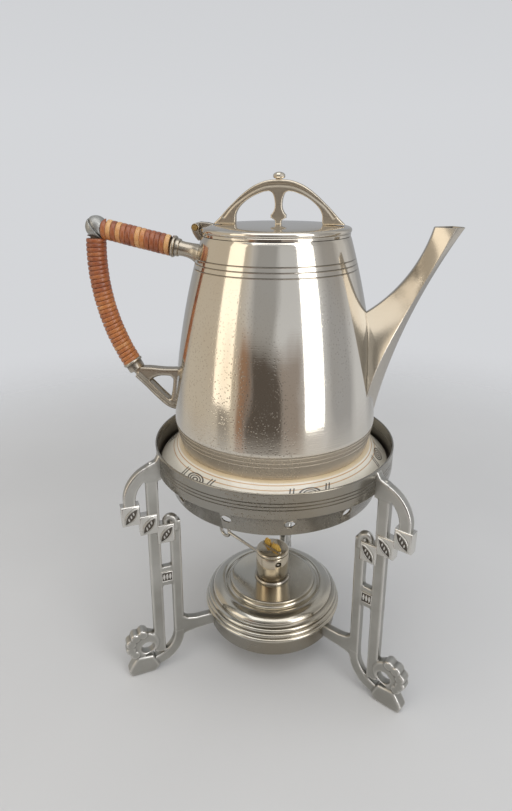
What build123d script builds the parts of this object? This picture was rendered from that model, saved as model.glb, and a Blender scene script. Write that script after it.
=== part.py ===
from build123d import *
import math
import os

# Coffee pot with hinged lid on a three-legged warmer with a spirit burner.
# Millimetres, Z up, floor at z = 0. +X runs from the handle to the spout.
# Everything is built round the stand's axis and moved by one offset when it is written.

# Round bodies are drawn with flat sides, to keep the number of facets low
round_sides = 48
small_sides = 32
fitting_sides = 12

# Tray gallery
tray_rim_z = 167.5
tray_radius = 76.0
tray_wall = 1.2
ledge_top_z = 152.7
skirt_top_radius = tray_radius - 4.5
skirt_low_radius = skirt_top_radius - 4.5
skirt_low_z = 135.5
skirt_lip = 2.5
vent_radius = 3.0
vent_count = 12
vent_sides = 6

# Hoop that carries the burner
hoop_radius = 45.6
hoop_wall = 2.0
hoop_low_z = 25.0
hoop_top_z = 37.0
arm_step = 0.5

# Cast legs, drawn as radius and height in their own upright plane
leg_azimuths = (90.0, 210.0, 330.0)
leg_thickness = 5.0
outer_post_width = 7.6
outer_post_top = (tray_radius + 1.6, 148.0)
outer_post_foot = (tray_radius + 4.9, 14.0)
inner_post_width = 6.8
inner_post_top = (tray_radius - 10.8, 119.0)
inner_post_foot = (tray_radius - 9.0, 28.0)
arch_reach = 24.5
arch_band = 7.5
arch_web_low_z = 149.5
square_width = 11.0
square_height = 13.5
square_thickness = 7.0
square_step_in = 10.4
square_step_down = 8.8
square_outer = (tray_radius + 19.8, 128.3)
leaf_half_length = 6.6
leaf_half_width = 2.5
leaf_relief = 0.5
leaf_waist = 2.0
leaf_tilt = -52.0
panel_low_z = 69.5
panel_top_z = 84.5
panel_boss = (4.6, 8.0)
panel_boss_in = 3.0
curl_radius = 4.3
sweep_radius = 25.0
scroll_centre = (tray_radius + 20.0, 25.0)
scroll_radius = 11.0
scroll_hole_radius = 3.9
scroll_hole_offset = (-2.6, -3.4)
cog_count = 4
cog_sides = 8
cog_radius = 3.7
cog_orbit = 9.5
cog_first_angle = -15.0
cog_step_angle = 36.5
foot_reach = tray_radius + 31.0
foot_heel = tray_radius + 12.0
toe_height = 7.0
toe_step = 4.0
toe_lip = 1.0
scroll_drop = 5.0
sweep_lift = 2.5
toe_thickness = 8.0
arm_height = 10.0

# Screws that hold the legs, put in from inside the gallery
screw_z = 160.5
screw_radius = 1.4
screw_length = 6.0
screw_head_radius = 2.5
screw_head_height = 0.9
screw_clearance = 0.05

# Ceramic ring
ring_gap = 1.8
ring_radius = tray_radius - tray_wall - ring_gap
ring_edge_height = 2.5
ring_seat_radius = ring_radius - 12.2
ring_bore_radius = ring_seat_radius - 13.8
ring_thickness = 3.2
ring_foot_width = 4.0

# Pot body
pot_base_z = 166.5
pot_base_radius = 59.2
belly_z = 182.0
belly_radius = pot_base_radius + 3.3
mouth_z = 291.5
mouth_radius = 42.0
side_bow = 3.55
side_steps = 5
pot_wall = 1.0
base_thickness = 1.0
base_recess = 1.0

# Spout, a folded sheet with flat sides, a crease on each side and a narrow back
spout_wall = 0.9
spout_embed = 8.0
spout_back_root_z = 245.0
spout_tip_root_z = 181.0
spout_mouth_z = 296.5
spout_mouth_back = 86.0
spout_reach = 102.0
spout_back_bow = 7.0
spout_front_bow = 6.0
spout_crease_share = 0.66
spout_root_half_width = 23.0
spout_mouth_half_width = 7.0
spout_back_half_width = 2.2
spout_front_half_width = 1.3
spout_stations = (0.0, 0.12, 0.28, 0.48, 0.72, 1.0)
spout_front_ease = 0.6
spout_width_ease = 0.7
spout_crease_inset = 1.15
spout_front_inset = (1.6, 0.8)
spout_hole_share = 0.55

# Handle, with centre lines in the handle-spout plane
bar_radius = 3.7
bar_sides = 8
wrap_radius = 1.0
wrap_sides = 3
wrap_gap = 0.15
wrap_margin = 1.2
upper_wrap_turns = 4
lower_wrap_turns = 8
socket_end = (-57.0, 283.4)
knee = (-107.3, 294.6)
lower_end = (-90.4, 208.8)
lower_bow = 8.0
lower_bar_stations = (0.2, 0.32, 0.44, 0.56, 0.68, 0.8)
knee_radius = 6.3
knee_reach = 6.5
knee_groove = 0.8
knee_seat_depth = 2.4
collar_radius = 5.4
collar_length = 4.5
socket_root_radius = 7.6
socket_root_length = 3.0
socket_root_embed = 3.0
socket_neck_radius = 4.5
bar_seat_depth = 4.0
bar_clearance = 0.05
bracket_thickness = 7.0
bracket_top_z = lower_end[1] + 0.2
bracket_low_z = bracket_top_z - 29.5
bracket_bar = 5.0
bracket_seat = 4.0
bracket_foot_length = 12.0
bracket_tip_half = (4.5, 4.6)
bracket_hole_tip = (11.0, 2.5)
bracket_hole_top = 16.0
bracket_hole_foot = 10.5

# Lid
lid_gap = 0.2
lid_radius = 42.4
lid_band_height = 4.8
lid_sheet = 1.0
lid_skirt_radius = 39.9
lid_skirt_depth = 5.0
lid_skirt_wall = 0.9
arch_shift = 1.3
arch_half_span = 37.3
arch_height = 23.8
arch_shoulder = (22.3, 14.5)
arch_foot_length = 12.6
arch_thickness = 5.5
arch_crown = 5.6
arch_outer_bow = (0.56, 2.7)
arch_inner_bow = (0.72, 0.74)
arch_foot_height = 3.0
arch_fillet = (5.0, 1.4)
strut_half_width = 2.3
strut_foot = (1.8, 1.4)
tulip_half_width = 4.8
tulip_z = 4.4
tulip_edge = 1.2
tulip_neck = 5.0
button_radius = 2.9
button_height = 3.2
button_stem_radius = 1.2
button_stem_length = 3.0

# Lid hinge
pin_radius = 1.5
pin_clearance = 0.05
knuckle_radius = 2.4
hinge_gap = 0.3
hinge_drop = 1.0
hinge_length = 16.0
lid_knuckle_length = 6.0
pin_proud = 0.5
body_leaf_depth = 6.0
lid_leaf_length = 6.3
leaf_sheet = 1.2

# Burner tank
tank_bottom_z = 21.5
tank_wall = 0.9
tank_edge_radius = 48.4
tank_inner_radius = tank_edge_radius - 7.4
tank_seat_radius = tank_inner_radius + 2.3
tank_floor_radius = tank_seat_radius - 7.3
tank_bead_height = 3.4
tank_bead_depth = 1.3
tank_bead_count = 3
tank_bead_inset = 1.3
tank_shoulder_radius = tank_inner_radius - 7.5
tank_shoulder_z = 51.3
tank_shoulder_bow = 2.2
tank_disc_radius = tank_shoulder_radius - 4.0
tank_disc_z = 55.0
tank_disc_edge = 1.3

# Burner neck and wick
collar_outer_radius = 12.8
neck_collar_height = 1.8
neck_bore_radius = 10.9
plug_radius = 10.8
plug_depth = 5.5
neck_radius = 12.0
neck_wall = 0.9
neck_top_z = 78.6
neck_edge_round = 1.0
wick_width = 16.4
wick_thickness = 2.0
wick_room = 0.25
wick_tube_wall = 0.6
wick_tube_proud = 0.9
wick_tube_low_z = 46.0
wick_proud = 3.4
wick_low_z = 30.0
wick_azimuth = 142.0
shaft_z = 71.5
shaft_offset = 4.5
journal_radius = 1.5
journal_clearance = 0.05
journal_length = 3.0
shaft_radius = 1.0
loop_distance = 47.0
loop_radius = 4.8
loop_wire_radius = 1.1
wheel_thickness = 1.6
wheel_spacing = 9.0
wheel_teeth = 8
wheel_gap = 0.12
wheel_root_share = 0.68
window_width = 2.6
window_height = 5.2


def ring_point(radius, angle, z):
    """Point at a radius, an angle in radians and a height."""
    return Vector(radius * math.cos(angle), radius * math.sin(angle), z)


def turned(outline, sides=round_sides):
    """Flat-sided solid of revolution about Z from a closed outline of (radius, height) points."""
    step = 2 * math.pi / sides
    faces = []
    for (r0, z0), (r1, z1) in zip(outline, outline[1:] + outline[:1]):
        if r0 == 0 and r1 == 0:
            continue
        for i in range(sides):
            low, high = (i - 0.5) * step, (i + 0.5) * step
            corners = [ring_point(r0, low, z0), ring_point(r1, low, z1)]
            corners += [ring_point(r, high, z) for r, z in ((r1, z1), (r0, z0)) if r > 0]
            faces.append(Face(Wire.make_polygon(corners)))
    return Solid(Shell(faces)).clean()


def drum(radius, low, high, sides=round_sides):
    """Upright flat-sided drum on the axis between two heights."""
    section = Pos(0, 0, low) * Rot(0, 0, 180 / sides) * RegularPolygon(radius, sides)
    return extrude(section, amount=high - low)


def rod_between(start, end, radius):
    """Round rod between two points."""
    start, end = Vector(start), Vector(end)
    along = end - start
    plane = Plane(origin=start, z_dir=along)
    return plane * Cylinder(radius, along.length, align=(Align.CENTER, Align.CENTER, Align.MIN))


def flat_rod(start, end, radius, end_radius=None, sides=fitting_sides):
    """Flat-sided rod or taper between two points in the handle-spout plane."""
    start, end = Vector(start), Vector(end)
    ends = ((start, radius), (end, end_radius or radius))
    along = end - start
    planes = [Plane(origin=point, x_dir=(0, 1, 0), z_dir=along) for point, _ in ends]
    return loft([plane * RegularPolygon(r, sides) for plane, (_, r) in zip(planes, ends)], ruled=True)


def in_plane(x, z):
    """Point in the handle-spout plane."""
    return Vector(x, 0, z)


def upright(sketch, thickness):
    """Plate from a sketch of (radius, height), centred on the handle-spout plane."""
    return Rot(90, 0, 0) * extrude(sketch, amount=thickness / 2, both=True)


def box_sketch(low, high):
    """Rectangle from its low corner to its high corner."""
    width, height = high[0] - low[0], high[1] - low[1]
    return Pos(low[0] + width / 2, low[1] + height / 2) * Rectangle(width, height)


def side_radius(z):
    """Outside radius of the pot body at a height on its long side."""
    chord = math.hypot(belly_radius - mouth_radius, mouth_z - belly_z)
    radius = (chord * chord / 4 + side_bow * side_bow) / (2 * side_bow)
    nx = (mouth_z - belly_z) / chord
    nz = (belly_radius - mouth_radius) / chord
    mid_x, mid_z = (belly_radius + mouth_radius) / 2, (belly_z + mouth_z) / 2
    centre_x = mid_x - nx * (radius - side_bow)
    centre_z = mid_z - nz * (radius - side_bow)
    return centre_x + math.sqrt(radius * radius - (z - centre_z) ** 2)


def tray_gallery():
    """Round gallery with a ledge inside and a pierced skirt."""
    low_ledge = ledge_top_z - tray_wall
    tray = turned(
        [
            (tray_radius - tray_wall, tray_rim_z),
            (tray_radius, tray_rim_z),
            (tray_radius, low_ledge),
            (skirt_top_radius, low_ledge),
            (skirt_low_radius, skirt_low_z),
            (skirt_low_radius - skirt_lip, skirt_low_z),
            (skirt_top_radius - tray_wall, ledge_top_z),
            (tray_radius - tray_wall, ledge_top_z),
        ]
    )
    vent_z = (skirt_low_z + low_ledge) / 2
    step = 360 / vent_count
    plane = Plane(origin=(skirt_low_radius - 2 * tray_wall, 0, vent_z), z_dir=(1, 0, 0))
    vent = extrude(plane * RegularPolygon(vent_radius, vent_sides), amount=4 * tray_wall + skirt_lip)
    for i in range(vent_count):
        tray -= Rot(0, 0, step * (i + 0.5)) * vent
    for azimuth in leg_azimuths:
        tray -= Rot(0, 0, azimuth) * screw_hole()
    return tray


def burner_hoop():
    """Plain hoop that the three arms are soldered to."""
    outer = drum(hoop_radius, hoop_low_z, hoop_top_z)
    return outer - drum(hoop_radius - hoop_wall, hoop_low_z - 1, hoop_top_z + 1)


def flat_radius(radius):
    """Distance from the axis to the flats of a round body."""
    return radius * math.cos(math.pi / round_sides)


def post(top, foot, width):
    """Straight post from its inner top corner to its inner foot corner."""
    return make_face(Polyline(top, (top[0] + width, top[1]), (foot[0] + width, foot[1]), foot, close=True))


def square_centres():
    """Middles of the three stepped squares, from the outside inwards."""
    return [(square_outer[0] - i * square_step_in, square_outer[1] - i * square_step_down) for i in range(3)]


def leaf(half_length, half_width):
    """Pointed leaf with a straight waist."""
    top = [(-leaf_waist, half_width), (leaf_waist, half_width)]
    low = [(leaf_waist, -half_width), (-leaf_waist, -half_width)]
    edge = Polyline(*top, (half_length, 0), *low, (-half_length, 0), close=True)
    return Rot(0, 0, leaf_tilt) * make_face(edge)


def arch_sketch():
    """Arch from the tray to the outer square, with its D-shaped opening."""
    centre = (tray_radius - 1.0, square_outer[1] + square_height / 2 + 2.0)
    outer = Pos(*centre) * Circle(arch_reach)
    outer &= box_sketch((tray_radius - 2, centre[1]), (foot_reach, tray_rim_z))
    band_in = centre[0] + arch_reach - arch_band
    outer += box_sketch((band_in, square_outer[1]), (centre[0] + arch_reach, centre[1]))
    post_edge = outer_post_top[0] + outer_post_width
    opening = Pos(*centre) * Circle(arch_reach - arch_band)
    opening += box_sketch((centre[0], square_outer[1] - square_height), (band_in, centre[1]))
    opening &= box_sketch((post_edge, 0), (foot_reach, tray_rim_z))
    gap = box_sketch((0, 0), (outer_post_top[0], arch_web_low_z))
    return outer - opening - gap


def foot_sketch():
    """Sweep of the inner post into the scroll, its cogs and the toe."""
    cx, cz = inner_post_foot[0] + sweep_radius, inner_post_foot[1]
    sweep = (Pos(cx, cz) * Circle(sweep_radius)) - (Pos(cx, cz) * Circle(sweep_radius - inner_post_width))
    sweep &= box_sketch((inner_post_foot[0] - 1, cz - sweep_radius - 1), (cx, cz))
    scroll = Pos(*scroll_centre) * Circle(scroll_radius)
    for i in range(cog_count):
        angle = math.radians(cog_first_angle + i * cog_step_angle)
        x = scroll_centre[0] + cog_orbit * math.cos(angle)
        z = scroll_centre[1] + cog_orbit * math.sin(angle)
        scroll += Pos(x, z) * Rot(0, 0, math.degrees(angle)) * RegularPolygon(cog_radius, cog_sides)
    toe = make_face(
        Polyline(
            (foot_heel, 0),
            (foot_reach, 0),
            (foot_reach + toe_lip, toe_height),
            (foot_reach - toe_step, toe_height + toe_step),
            (foot_reach - toe_step, scroll_centre[1] - scroll_drop),
            (cx - sweep_radius / 3, scroll_centre[1] - scroll_drop),
            (cx - sweep_radius / 3, cz - sweep_radius + sweep_lift),
            close=True,
        )
    )
    hole = Pos(scroll_centre[0] + scroll_hole_offset[0], scroll_centre[1] + scroll_hole_offset[1])
    return sweep + scroll + toe - hole * Circle(scroll_hole_radius)


def leg():
    """One cast leg with its arm, squares, slots, cross panel and scroll foot."""
    outline = post(outer_post_top, outer_post_foot, outer_post_width)
    outline += post(inner_post_top, inner_post_foot, inner_post_width)
    outline += arch_sketch()
    outline += Pos(inner_post_top[0] + curl_radius, inner_post_top[1]) * Circle(curl_radius)
    panel_side = outer_post_top[0] + outer_post_width / 2
    outline += box_sketch((inner_post_foot[0] + 2, panel_low_z), (panel_side, panel_top_z))
    arm_top = hoop_top_z - arm_step
    outline += box_sketch((hoop_radius - 2, arm_top - arm_height), (inner_post_foot[0] + 2, arm_top))
    outline += foot_sketch()
    squares = Sketch() + [Pos(*c) * Rectangle(square_width, square_height) for c in square_centres()]
    solid = upright(outline, leg_thickness) + upright(squares, square_thickness)
    leaves = Sketch() + [Pos(*c) * leaf(leaf_half_length, leaf_half_width) for c in square_centres()]
    solid += upright(leaves, square_thickness + 2 * leaf_relief)
    boss_place = (inner_post_top[0] + inner_post_width + panel_boss_in, (panel_low_z + panel_top_z) / 2)
    boss = Pos(*boss_place) * Rectangle(*panel_boss)
    solid += upright(boss, leg_thickness + 2 * leaf_relief)
    solid += upright(box_sketch((foot_heel + toe_step, 0), (foot_reach, toe_height)), toe_thickness)
    solid -= drum(tray_radius, skirt_low_z, tray_rim_z + 1)
    solid -= drum(hoop_radius, 0, hoop_top_z + 1)
    return solid - screw_hole()


def screw_rod(low, high, radius):
    """Round rod on a leg screw's axis between two radii of the stand."""
    return rod_between((low, 0, screw_z), (high, 0, screw_z), radius)


def screw_hole():
    """Hole for a leg screw through the gallery wall into a leg."""
    high = tray_radius + screw_length + screw_clearance
    return screw_rod(tray_radius - 2 * tray_wall, high, screw_radius + screw_clearance)


def leg_screws():
    """Hexagon-headed screws from inside the gallery into the legs."""
    seat = flat_radius(tray_radius - tray_wall)
    plane = Plane(origin=(seat - screw_head_height, 0, screw_z), z_dir=(1, 0, 0))
    head = extrude(plane * RegularPolygon(screw_head_radius, 6), amount=screw_head_height)
    screw = head + screw_rod(seat - screw_head_height / 2, tray_radius + screw_length, screw_radius)
    return Compound([Rot(0, 0, azimuth) * screw for azimuth in leg_azimuths])


def ceramic_ring():
    """Sloping glazed ring on the tray's ledge with a flat seat for the pot."""
    edge_z = ledge_top_z + ring_edge_height
    under_z = pot_base_z - ring_thickness
    return turned(
        [
            (ring_radius, ledge_top_z),
            (ring_radius, edge_z),
            (ring_seat_radius, pot_base_z),
            (ring_bore_radius, pot_base_z),
            (ring_bore_radius, under_z),
            (ring_seat_radius - ring_thickness / 2, under_z),
            (ring_radius - ring_foot_width, ledge_top_z),
        ]
    )


def side_points(wall):
    """Points up the pot's side, one wall inside the outer form."""
    heights = [belly_z + (mouth_z - belly_z) * i / side_steps for i in range(side_steps + 1)]
    return [(side_radius(z) - wall, z) for z in heights]


def pot_outside():
    """Full outer form of the pot body."""
    base = [(0, pot_base_z), (pot_base_radius, pot_base_z)]
    return turned(base + side_points(0) + [(0, mouth_z)])


def pot_inside():
    """Hollow of the pot body above its base, and the recess below it."""
    floor = pot_base_z + base_recess + base_thickness
    low = (pot_base_radius - pot_wall, floor)
    above = [(mouth_radius - pot_wall, mouth_z + 1), (0, mouth_z + 1)]
    hollow = turned([(0, floor), low] + side_points(pot_wall) + above)
    return hollow + drum(pot_base_radius - pot_wall, pot_base_z - 1, floor)


def pot_body():
    """Body shell with the way into the spout."""
    low = spout_tip_root_z + 3 * pot_wall
    high = spout_back_root_z
    half = spout_root_half_width * spout_hole_share
    plane = Plane(origin=(mouth_radius - 2, 0, 0), x_dir=(0, 1, 0), z_dir=(1, 0, 0))
    wide_z = low + (high - low) * (1 - spout_crease_share)
    hole = Polyline((0, low), (half, wide_z), (spout_back_half_width, high), (-spout_back_half_width, high),
                    (-half, wide_z), close=True)
    return pot_outside() - pot_inside() - extrude(plane * make_face(hole), amount=belly_radius)


def pot_base():
    """Flat disc let into the foot of the body."""
    low = pot_base_z + base_recess
    return drum(pot_base_radius - pot_wall, low, low + base_thickness)


def spout_section(t, inset):
    """Corners of the spout's kite-shaped section at a share of the way up its bowed edges."""
    back_start = (side_radius(spout_back_root_z) - spout_embed, spout_back_root_z)
    front_start = (belly_radius - spout_wall * 2, spout_tip_root_z)
    back = SagittaArc(back_start, (spout_mouth_back, spout_mouth_z), -spout_back_bow)
    front = SagittaArc(front_start, (spout_reach, spout_mouth_z), spout_front_bow)
    start, end = back @ t, front @ (t**spout_front_ease)
    origin = Vector(start.X, 0, start.Y)
    across = Vector(end.X, 0, end.Y) - origin
    length = across.length
    half = spout_root_half_width + (spout_mouth_half_width - spout_root_half_width) * t**spout_width_ease
    outline = [
        (inset, spout_back_half_width - inset),
        (length * spout_crease_share, half - spout_crease_inset * inset),
        (length - spout_front_inset[0] * inset, spout_front_half_width - spout_front_inset[1] * inset),
    ]
    mirrored = [(x, -y) for x, y in reversed(outline)]
    return [origin + across.normalized() * x + Vector(0, y, 0) for x, y in outline + mirrored]


def folded_form(sections):
    """Solid with flat triangular sides through a row of sections with the same number of corners."""
    faces = [Face(Wire.make_polygon(section)) for section in (sections[0], sections[-1])]
    for low, high in zip(sections, sections[1:]):
        for i in range(len(low)):
            near, far = i, (i + 1) % len(low)
            faces.append(Face(Wire.make_polygon([low[near], low[far], high[far]])))
            faces.append(Face(Wire.make_polygon([low[near], high[far], high[near]])))
    return Solid(Shell(faces))


def spout_form(inset, rise=0):
    """Spout as a full form, drawn in from its outside by an inset, with its mouth raised if asked."""
    sections = [spout_section(t, inset) for t in spout_stations]
    if rise:
        sections.append([point + Vector(0, 0, rise) for point in sections[-1]])
    return folded_form(sections)


def spout():
    """Folded spout that fits the side of the body."""
    return spout_form(0) - spout_form(spout_wall, rise=1) - pot_outside()


def upper_direction():
    """Unit vector along the upper bar, from the socket to the knee."""
    return (in_plane(*knee) - in_plane(*socket_end)).normalized()


def lower_run():
    """Centre line of the lower bar, from the knee to the bracket."""
    return ThreePointArc(in_plane(*knee), lower_mid(), in_plane(*lower_end))


def lower_mid():
    """Middle of the lower bar's centre line."""
    start, end = in_plane(*knee), in_plane(*lower_end)
    chord = end - start
    out = Vector(chord.Z, 0, -chord.X).normalized()
    return (start + end) * 0.5 + out * lower_bow


def upper_bar():
    """Straight bar from the socket into the knee."""
    start = in_plane(*socket_end) - upper_direction() * bar_seat_depth
    end = in_plane(*knee) - upper_direction() * (knee_reach - knee_seat_depth)
    return flat_rod(start, end, bar_radius, sides=bar_sides)


def lower_stretch(start, end):
    """Part of the lower bar's centre line between two lengths from the knee."""
    run = lower_run()
    return run.trim(start / run.length, end / run.length)


def lower_bar():
    """Bowed bar from the knee into the bracket's collar, straight where it is held."""
    run = lower_run()
    down, low = run @ (knee_reach / run.length), run @ (1 - collar_length / run.length)
    rise = (in_plane(*knee) - down).normalized()
    fall = (in_plane(*lower_end) - low).normalized()
    places = [(down + rise * knee_seat_depth, rise * -1), (down, rise * -1)]
    places += [(run @ share, run % share) for share in lower_bar_stations]
    places += [(low, fall), (low + fall * collar_length, fall)]
    planes = [Plane(origin=point, x_dir=(0, 1, 0), z_dir=along) for point, along in places]
    return loft([plane * RegularPolygon(bar_radius, bar_sides) for plane in planes], ruled=True)


def knee_lobe(end, across):
    """One lobe of the knee, from its end to the mitre."""
    corner = in_plane(*knee)
    along = (corner - end).normalized()
    lobe = flat_rod(end, corner + along * knee_radius, knee_radius)
    mitre = Plane(origin=corner - across * (knee_groove / 2), z_dir=across)
    return split(lobe, bisect_by=mitre, keep=Keep.BOTTOM)


def bore(start, end):
    """Seat for a handle bar between two points."""
    return flat_rod(start, end, bar_radius + bar_clearance, sides=bar_sides)


def handle_knee():
    """Grey metal elbow of two lobes with a groove along the mitre."""
    corner = in_plane(*knee)
    down = lower_stretch(0, knee_reach) @ 1
    start = corner - upper_direction() * knee_reach
    rise = (corner - down).normalized()
    across = (upper_direction() - rise).normalized()
    middle = Plane(origin=corner, x_dir=(0, 1, 0), z_dir=across)
    core = middle * RegularPolygon(knee_radius - knee_groove, fitting_sides)
    piece = knee_lobe(start, across) + knee_lobe(down, across * -1)
    piece += extrude(core, amount=knee_groove, both=True)
    piece -= bore(start - upper_direction(), start + upper_direction() * knee_seat_depth)
    return piece - bore(down - rise, down + rise * knee_seat_depth)


def upper_socket():
    """Flared socket on the body with a collar that takes the upper bar."""
    along = upper_direction()
    end = in_plane(*socket_end)
    root = end - along * (-end.X - side_radius(end.Z) + socket_root_embed)
    waist = root + along * (socket_root_embed + socket_root_length)
    piece = flat_rod(root, waist, socket_root_radius, socket_neck_radius)
    piece += flat_rod(waist, end, socket_neck_radius)
    piece += flat_rod(end, end + along * collar_length, collar_radius)
    return piece - pot_outside() - bore(end - along * bar_seat_depth, end + along * (collar_length + 1))


def lower_bracket():
    """Openwork bracket of three bars with a collar for the lower bar."""
    end = in_plane(*lower_end)
    low = lower_stretch(0, lower_run().length - collar_length) @ 1
    tangent = (end - low).normalized()
    wall_top, wall_low = bracket_seat - side_radius(bracket_top_z), bracket_seat - belly_radius
    tip = end + tangent * (bracket_tip_half[0] / 2)
    tip_top = (end.X + bracket_tip_half[0], bracket_top_z)
    tip_low = (end.X - bracket_seat, end.Z - bracket_tip_half[1])
    hole_side = wall_top - bracket_seat - bracket_bar
    outer = make_face(
        Polyline(tip_top, (wall_top, bracket_top_z), (wall_low, bracket_low_z),
                 (wall_low - bracket_foot_length, bracket_low_z), tip_low, close=True)
    )
    hole = make_face(
        Polyline(
            (end.X + bracket_hole_tip[0], bracket_top_z - bracket_bar - bracket_hole_tip[1]),
            (end.X + bracket_hole_top, bracket_top_z - bracket_bar),
            (hole_side, bracket_top_z - bracket_bar),
            (hole_side, bracket_low_z + bracket_hole_foot),
            close=True,
        )
    )
    piece = upright(outer - hole, bracket_thickness)
    piece += flat_rod(low, tip, collar_radius)
    return piece - bore(low - tangent, end) - pot_outside()


def turn_point(place, angle, radius):
    """Point and travel direction on a winding at a place on its centre line."""
    centre, along, side, up = place
    spoke = side * math.cos(angle) + up * math.sin(angle)
    return centre + spoke * radius, up * math.cos(angle) - side * math.sin(angle)


def biarc(start, start_dir, end, end_dir):
    """Two arcs that join two points with the given directions."""
    gap, both = end - start, start_dir + end_dir
    a = 4 - both.dot(both)
    b = gap.dot(both)
    reach = (-b + math.sqrt(b * b + a * gap.dot(gap))) / a
    first, second = start + start_dir * reach, end - end_dir * reach
    joint = (first + second) * 0.5
    middle = (second - first).normalized()
    return [Edge.make_tangent_arc(start, start_dir, joint), Edge.make_tangent_arc(joint, middle, end)]


def winding(run, start, end, turns):
    """Cane wound round a centre line between two lengths along it, in biarcs of half a turn."""
    radius = bar_radius + wrap_gap + wrap_radius
    pitch = (end - start) / turns
    knots = []
    for i in range(2 * turns + 1):
        share = (start + pitch * i / 2) / run.length
        along = (run % share).normalized()
        side = Vector(0, 1, 0)
        place = (run @ share, along, side, along.cross(side))
        point, travel = turn_point(place, math.pi * i, radius)
        climb = along * (pitch / (2 * math.pi * radius))
        knots.append((point, (travel + climb).normalized()))
    path = Wire([arc for one, two in zip(knots, knots[1:]) for arc in biarc(*one, *two)])
    inward = (run @ (start / run.length) - knots[0][0]).normalized()
    start_plane = Plane(origin=knots[0][0], x_dir=inward, z_dir=knots[0][1])
    section = start_plane * RegularPolygon(wrap_radius, wrap_sides)
    print("winding of", turns, "turns, least gap to itself", round(least_gap(path, turns), 2), "mm")
    return sweep(section, path=path, clean=False)


def least_gap(path, turns):
    """Least distance between points of a winding half a turn or more apart, less its own thickness."""
    per_turn = 12
    points = [path @ (i / (turns * per_turn)) for i in range(turns * per_turn + 1)]
    pairs = [(i, j) for i in range(len(points)) for j in range(i + per_turn // 2, len(points))]
    return min((points[i] - points[j]).length for i, j in pairs) - 2 * wrap_radius


def cane_wraps():
    """Cane wound on the upper and the lower bar."""
    margin = wrap_radius + wrap_margin
    upper = Line(in_plane(*socket_end), in_plane(*knee))
    lower = lower_run()
    return Compound(
        [
            winding(upper, collar_length + margin, upper.length - knee_reach - margin, upper_wrap_turns),
            winding(lower, knee_reach + margin, lower.length - collar_length - margin, lower_wrap_turns),
        ]
    )


def lid_base_z():
    """Height of the lid's lower edge."""
    return mouth_z + lid_gap


def lid_top_z():
    """Height of the lid's flat top."""
    return lid_base_z() + lid_band_height + lid_sheet


def lid_cover():
    """Pressed lid, a shallow cap with a slightly raised top."""
    low, band = lid_base_z(), lid_base_z() + lid_band_height
    return turned(
        [
            (lid_skirt_radius, low),
            (lid_radius, low),
            (lid_radius, band - lid_sheet / 2),
            (lid_radius - lid_band_height, lid_top_z()),
            (0, lid_top_z()),
            (0, band - lid_sheet),
            (lid_skirt_radius, band - lid_sheet),
        ]
    )


def lid_skirt():
    """Ring under the lid that drops into the mouth."""
    top = lid_base_z() + lid_band_height - lid_sheet
    low = mouth_z - lid_skirt_depth
    return drum(lid_skirt_radius, low, top) - drum(lid_skirt_radius - lid_skirt_wall, low - 1, top + 1)


def half_arch():
    """Right half of the arch grip's outline, from its middle."""
    foot = arch_half_span - arch_foot_length
    shoulder_mid = (arch_shoulder[0] * arch_outer_bow[0], arch_height - arch_outer_bow[1])
    outer = [
        Line((0, 0), (arch_half_span, 0)),
        Line((arch_half_span, 0), arch_shoulder),
        ThreePointArc(arch_shoulder, shoulder_mid, (0, arch_height)),
        Line((0, arch_height), (0, 0)),
    ]
    crown = arch_height - arch_crown
    foot_top = (foot, arch_foot_height)
    inner_mid = (foot * arch_inner_bow[0], crown * arch_inner_bow[1])
    fillet_start = (strut_half_width + arch_fillet[0], crown)
    fillet_mid = (strut_half_width + tulip_edge, crown - arch_fillet[1])
    fillet_end = (strut_half_width, crown - arch_fillet[0])
    inner = [
        Line((strut_half_width, -1), (foot, -1)),
        Line((foot, -1), foot_top),
        ThreePointArc(foot_top, inner_mid, fillet_start),
        ThreePointArc(fillet_start, fillet_mid, fillet_end),
        Line(fillet_end, (strut_half_width, -1)),
    ]
    neck_z = tulip_z + tulip_neck
    tulip = Polyline((0, 0), (strut_foot[0], 0), strut_foot, (tulip_half_width, tulip_z - tulip_edge),
                     (tulip_half_width, tulip_z), (strut_half_width, neck_z), (0, neck_z), close=True)
    notch = box_sketch((strut_foot[0], -1), (strut_half_width + 1, strut_foot[1]))
    return make_face(outer) - make_face(inner) - notch + make_face(tulip)


def lid_arch():
    """Arch grip with a central strut."""
    half = half_arch()
    outline = half + mirror(half, about=Plane.YZ)
    grip = Pos(arch_shift, 0, lid_top_z()) * upright(outline, arch_thickness)
    top = lid_top_z() + arch_height
    hole = drum(button_stem_radius + bar_clearance, top - button_stem_length, top + 1, fitting_sides)
    return grip - Pos(arch_shift, 0, 0) * hole


def lid_button():
    """Turned button riveted through the crown of the arch."""
    seat = lid_top_z() + arch_height
    top = seat + button_height
    head = turned(
        [(0, seat), (button_radius, seat), (button_radius, top - 1.0), (button_radius - 0.9, top), (0, top)],
        2 * fitting_sides,
    )
    stem = drum(button_stem_radius, seat - button_stem_length, seat, fitting_sides)
    return Pos(arch_shift, 0, 0) * (head + stem)


def hinge_axis():
    """Place of the lid hinge's axis in the handle-spout plane."""
    return -(lid_radius + knuckle_radius + hinge_gap), lid_base_z() + lid_band_height - hinge_drop


def hinge_rod(low_y, high_y, radius):
    """Cylinder on the hinge axis between two places across the pot."""
    x, z = hinge_axis()
    return rod_between((x, low_y, z), (x, high_y, z), radius)


def hinge_pin():
    """Brass pin with its ends showing."""
    half = hinge_length / 2 + pin_proud
    return hinge_rod(-half, half, pin_radius)


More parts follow.
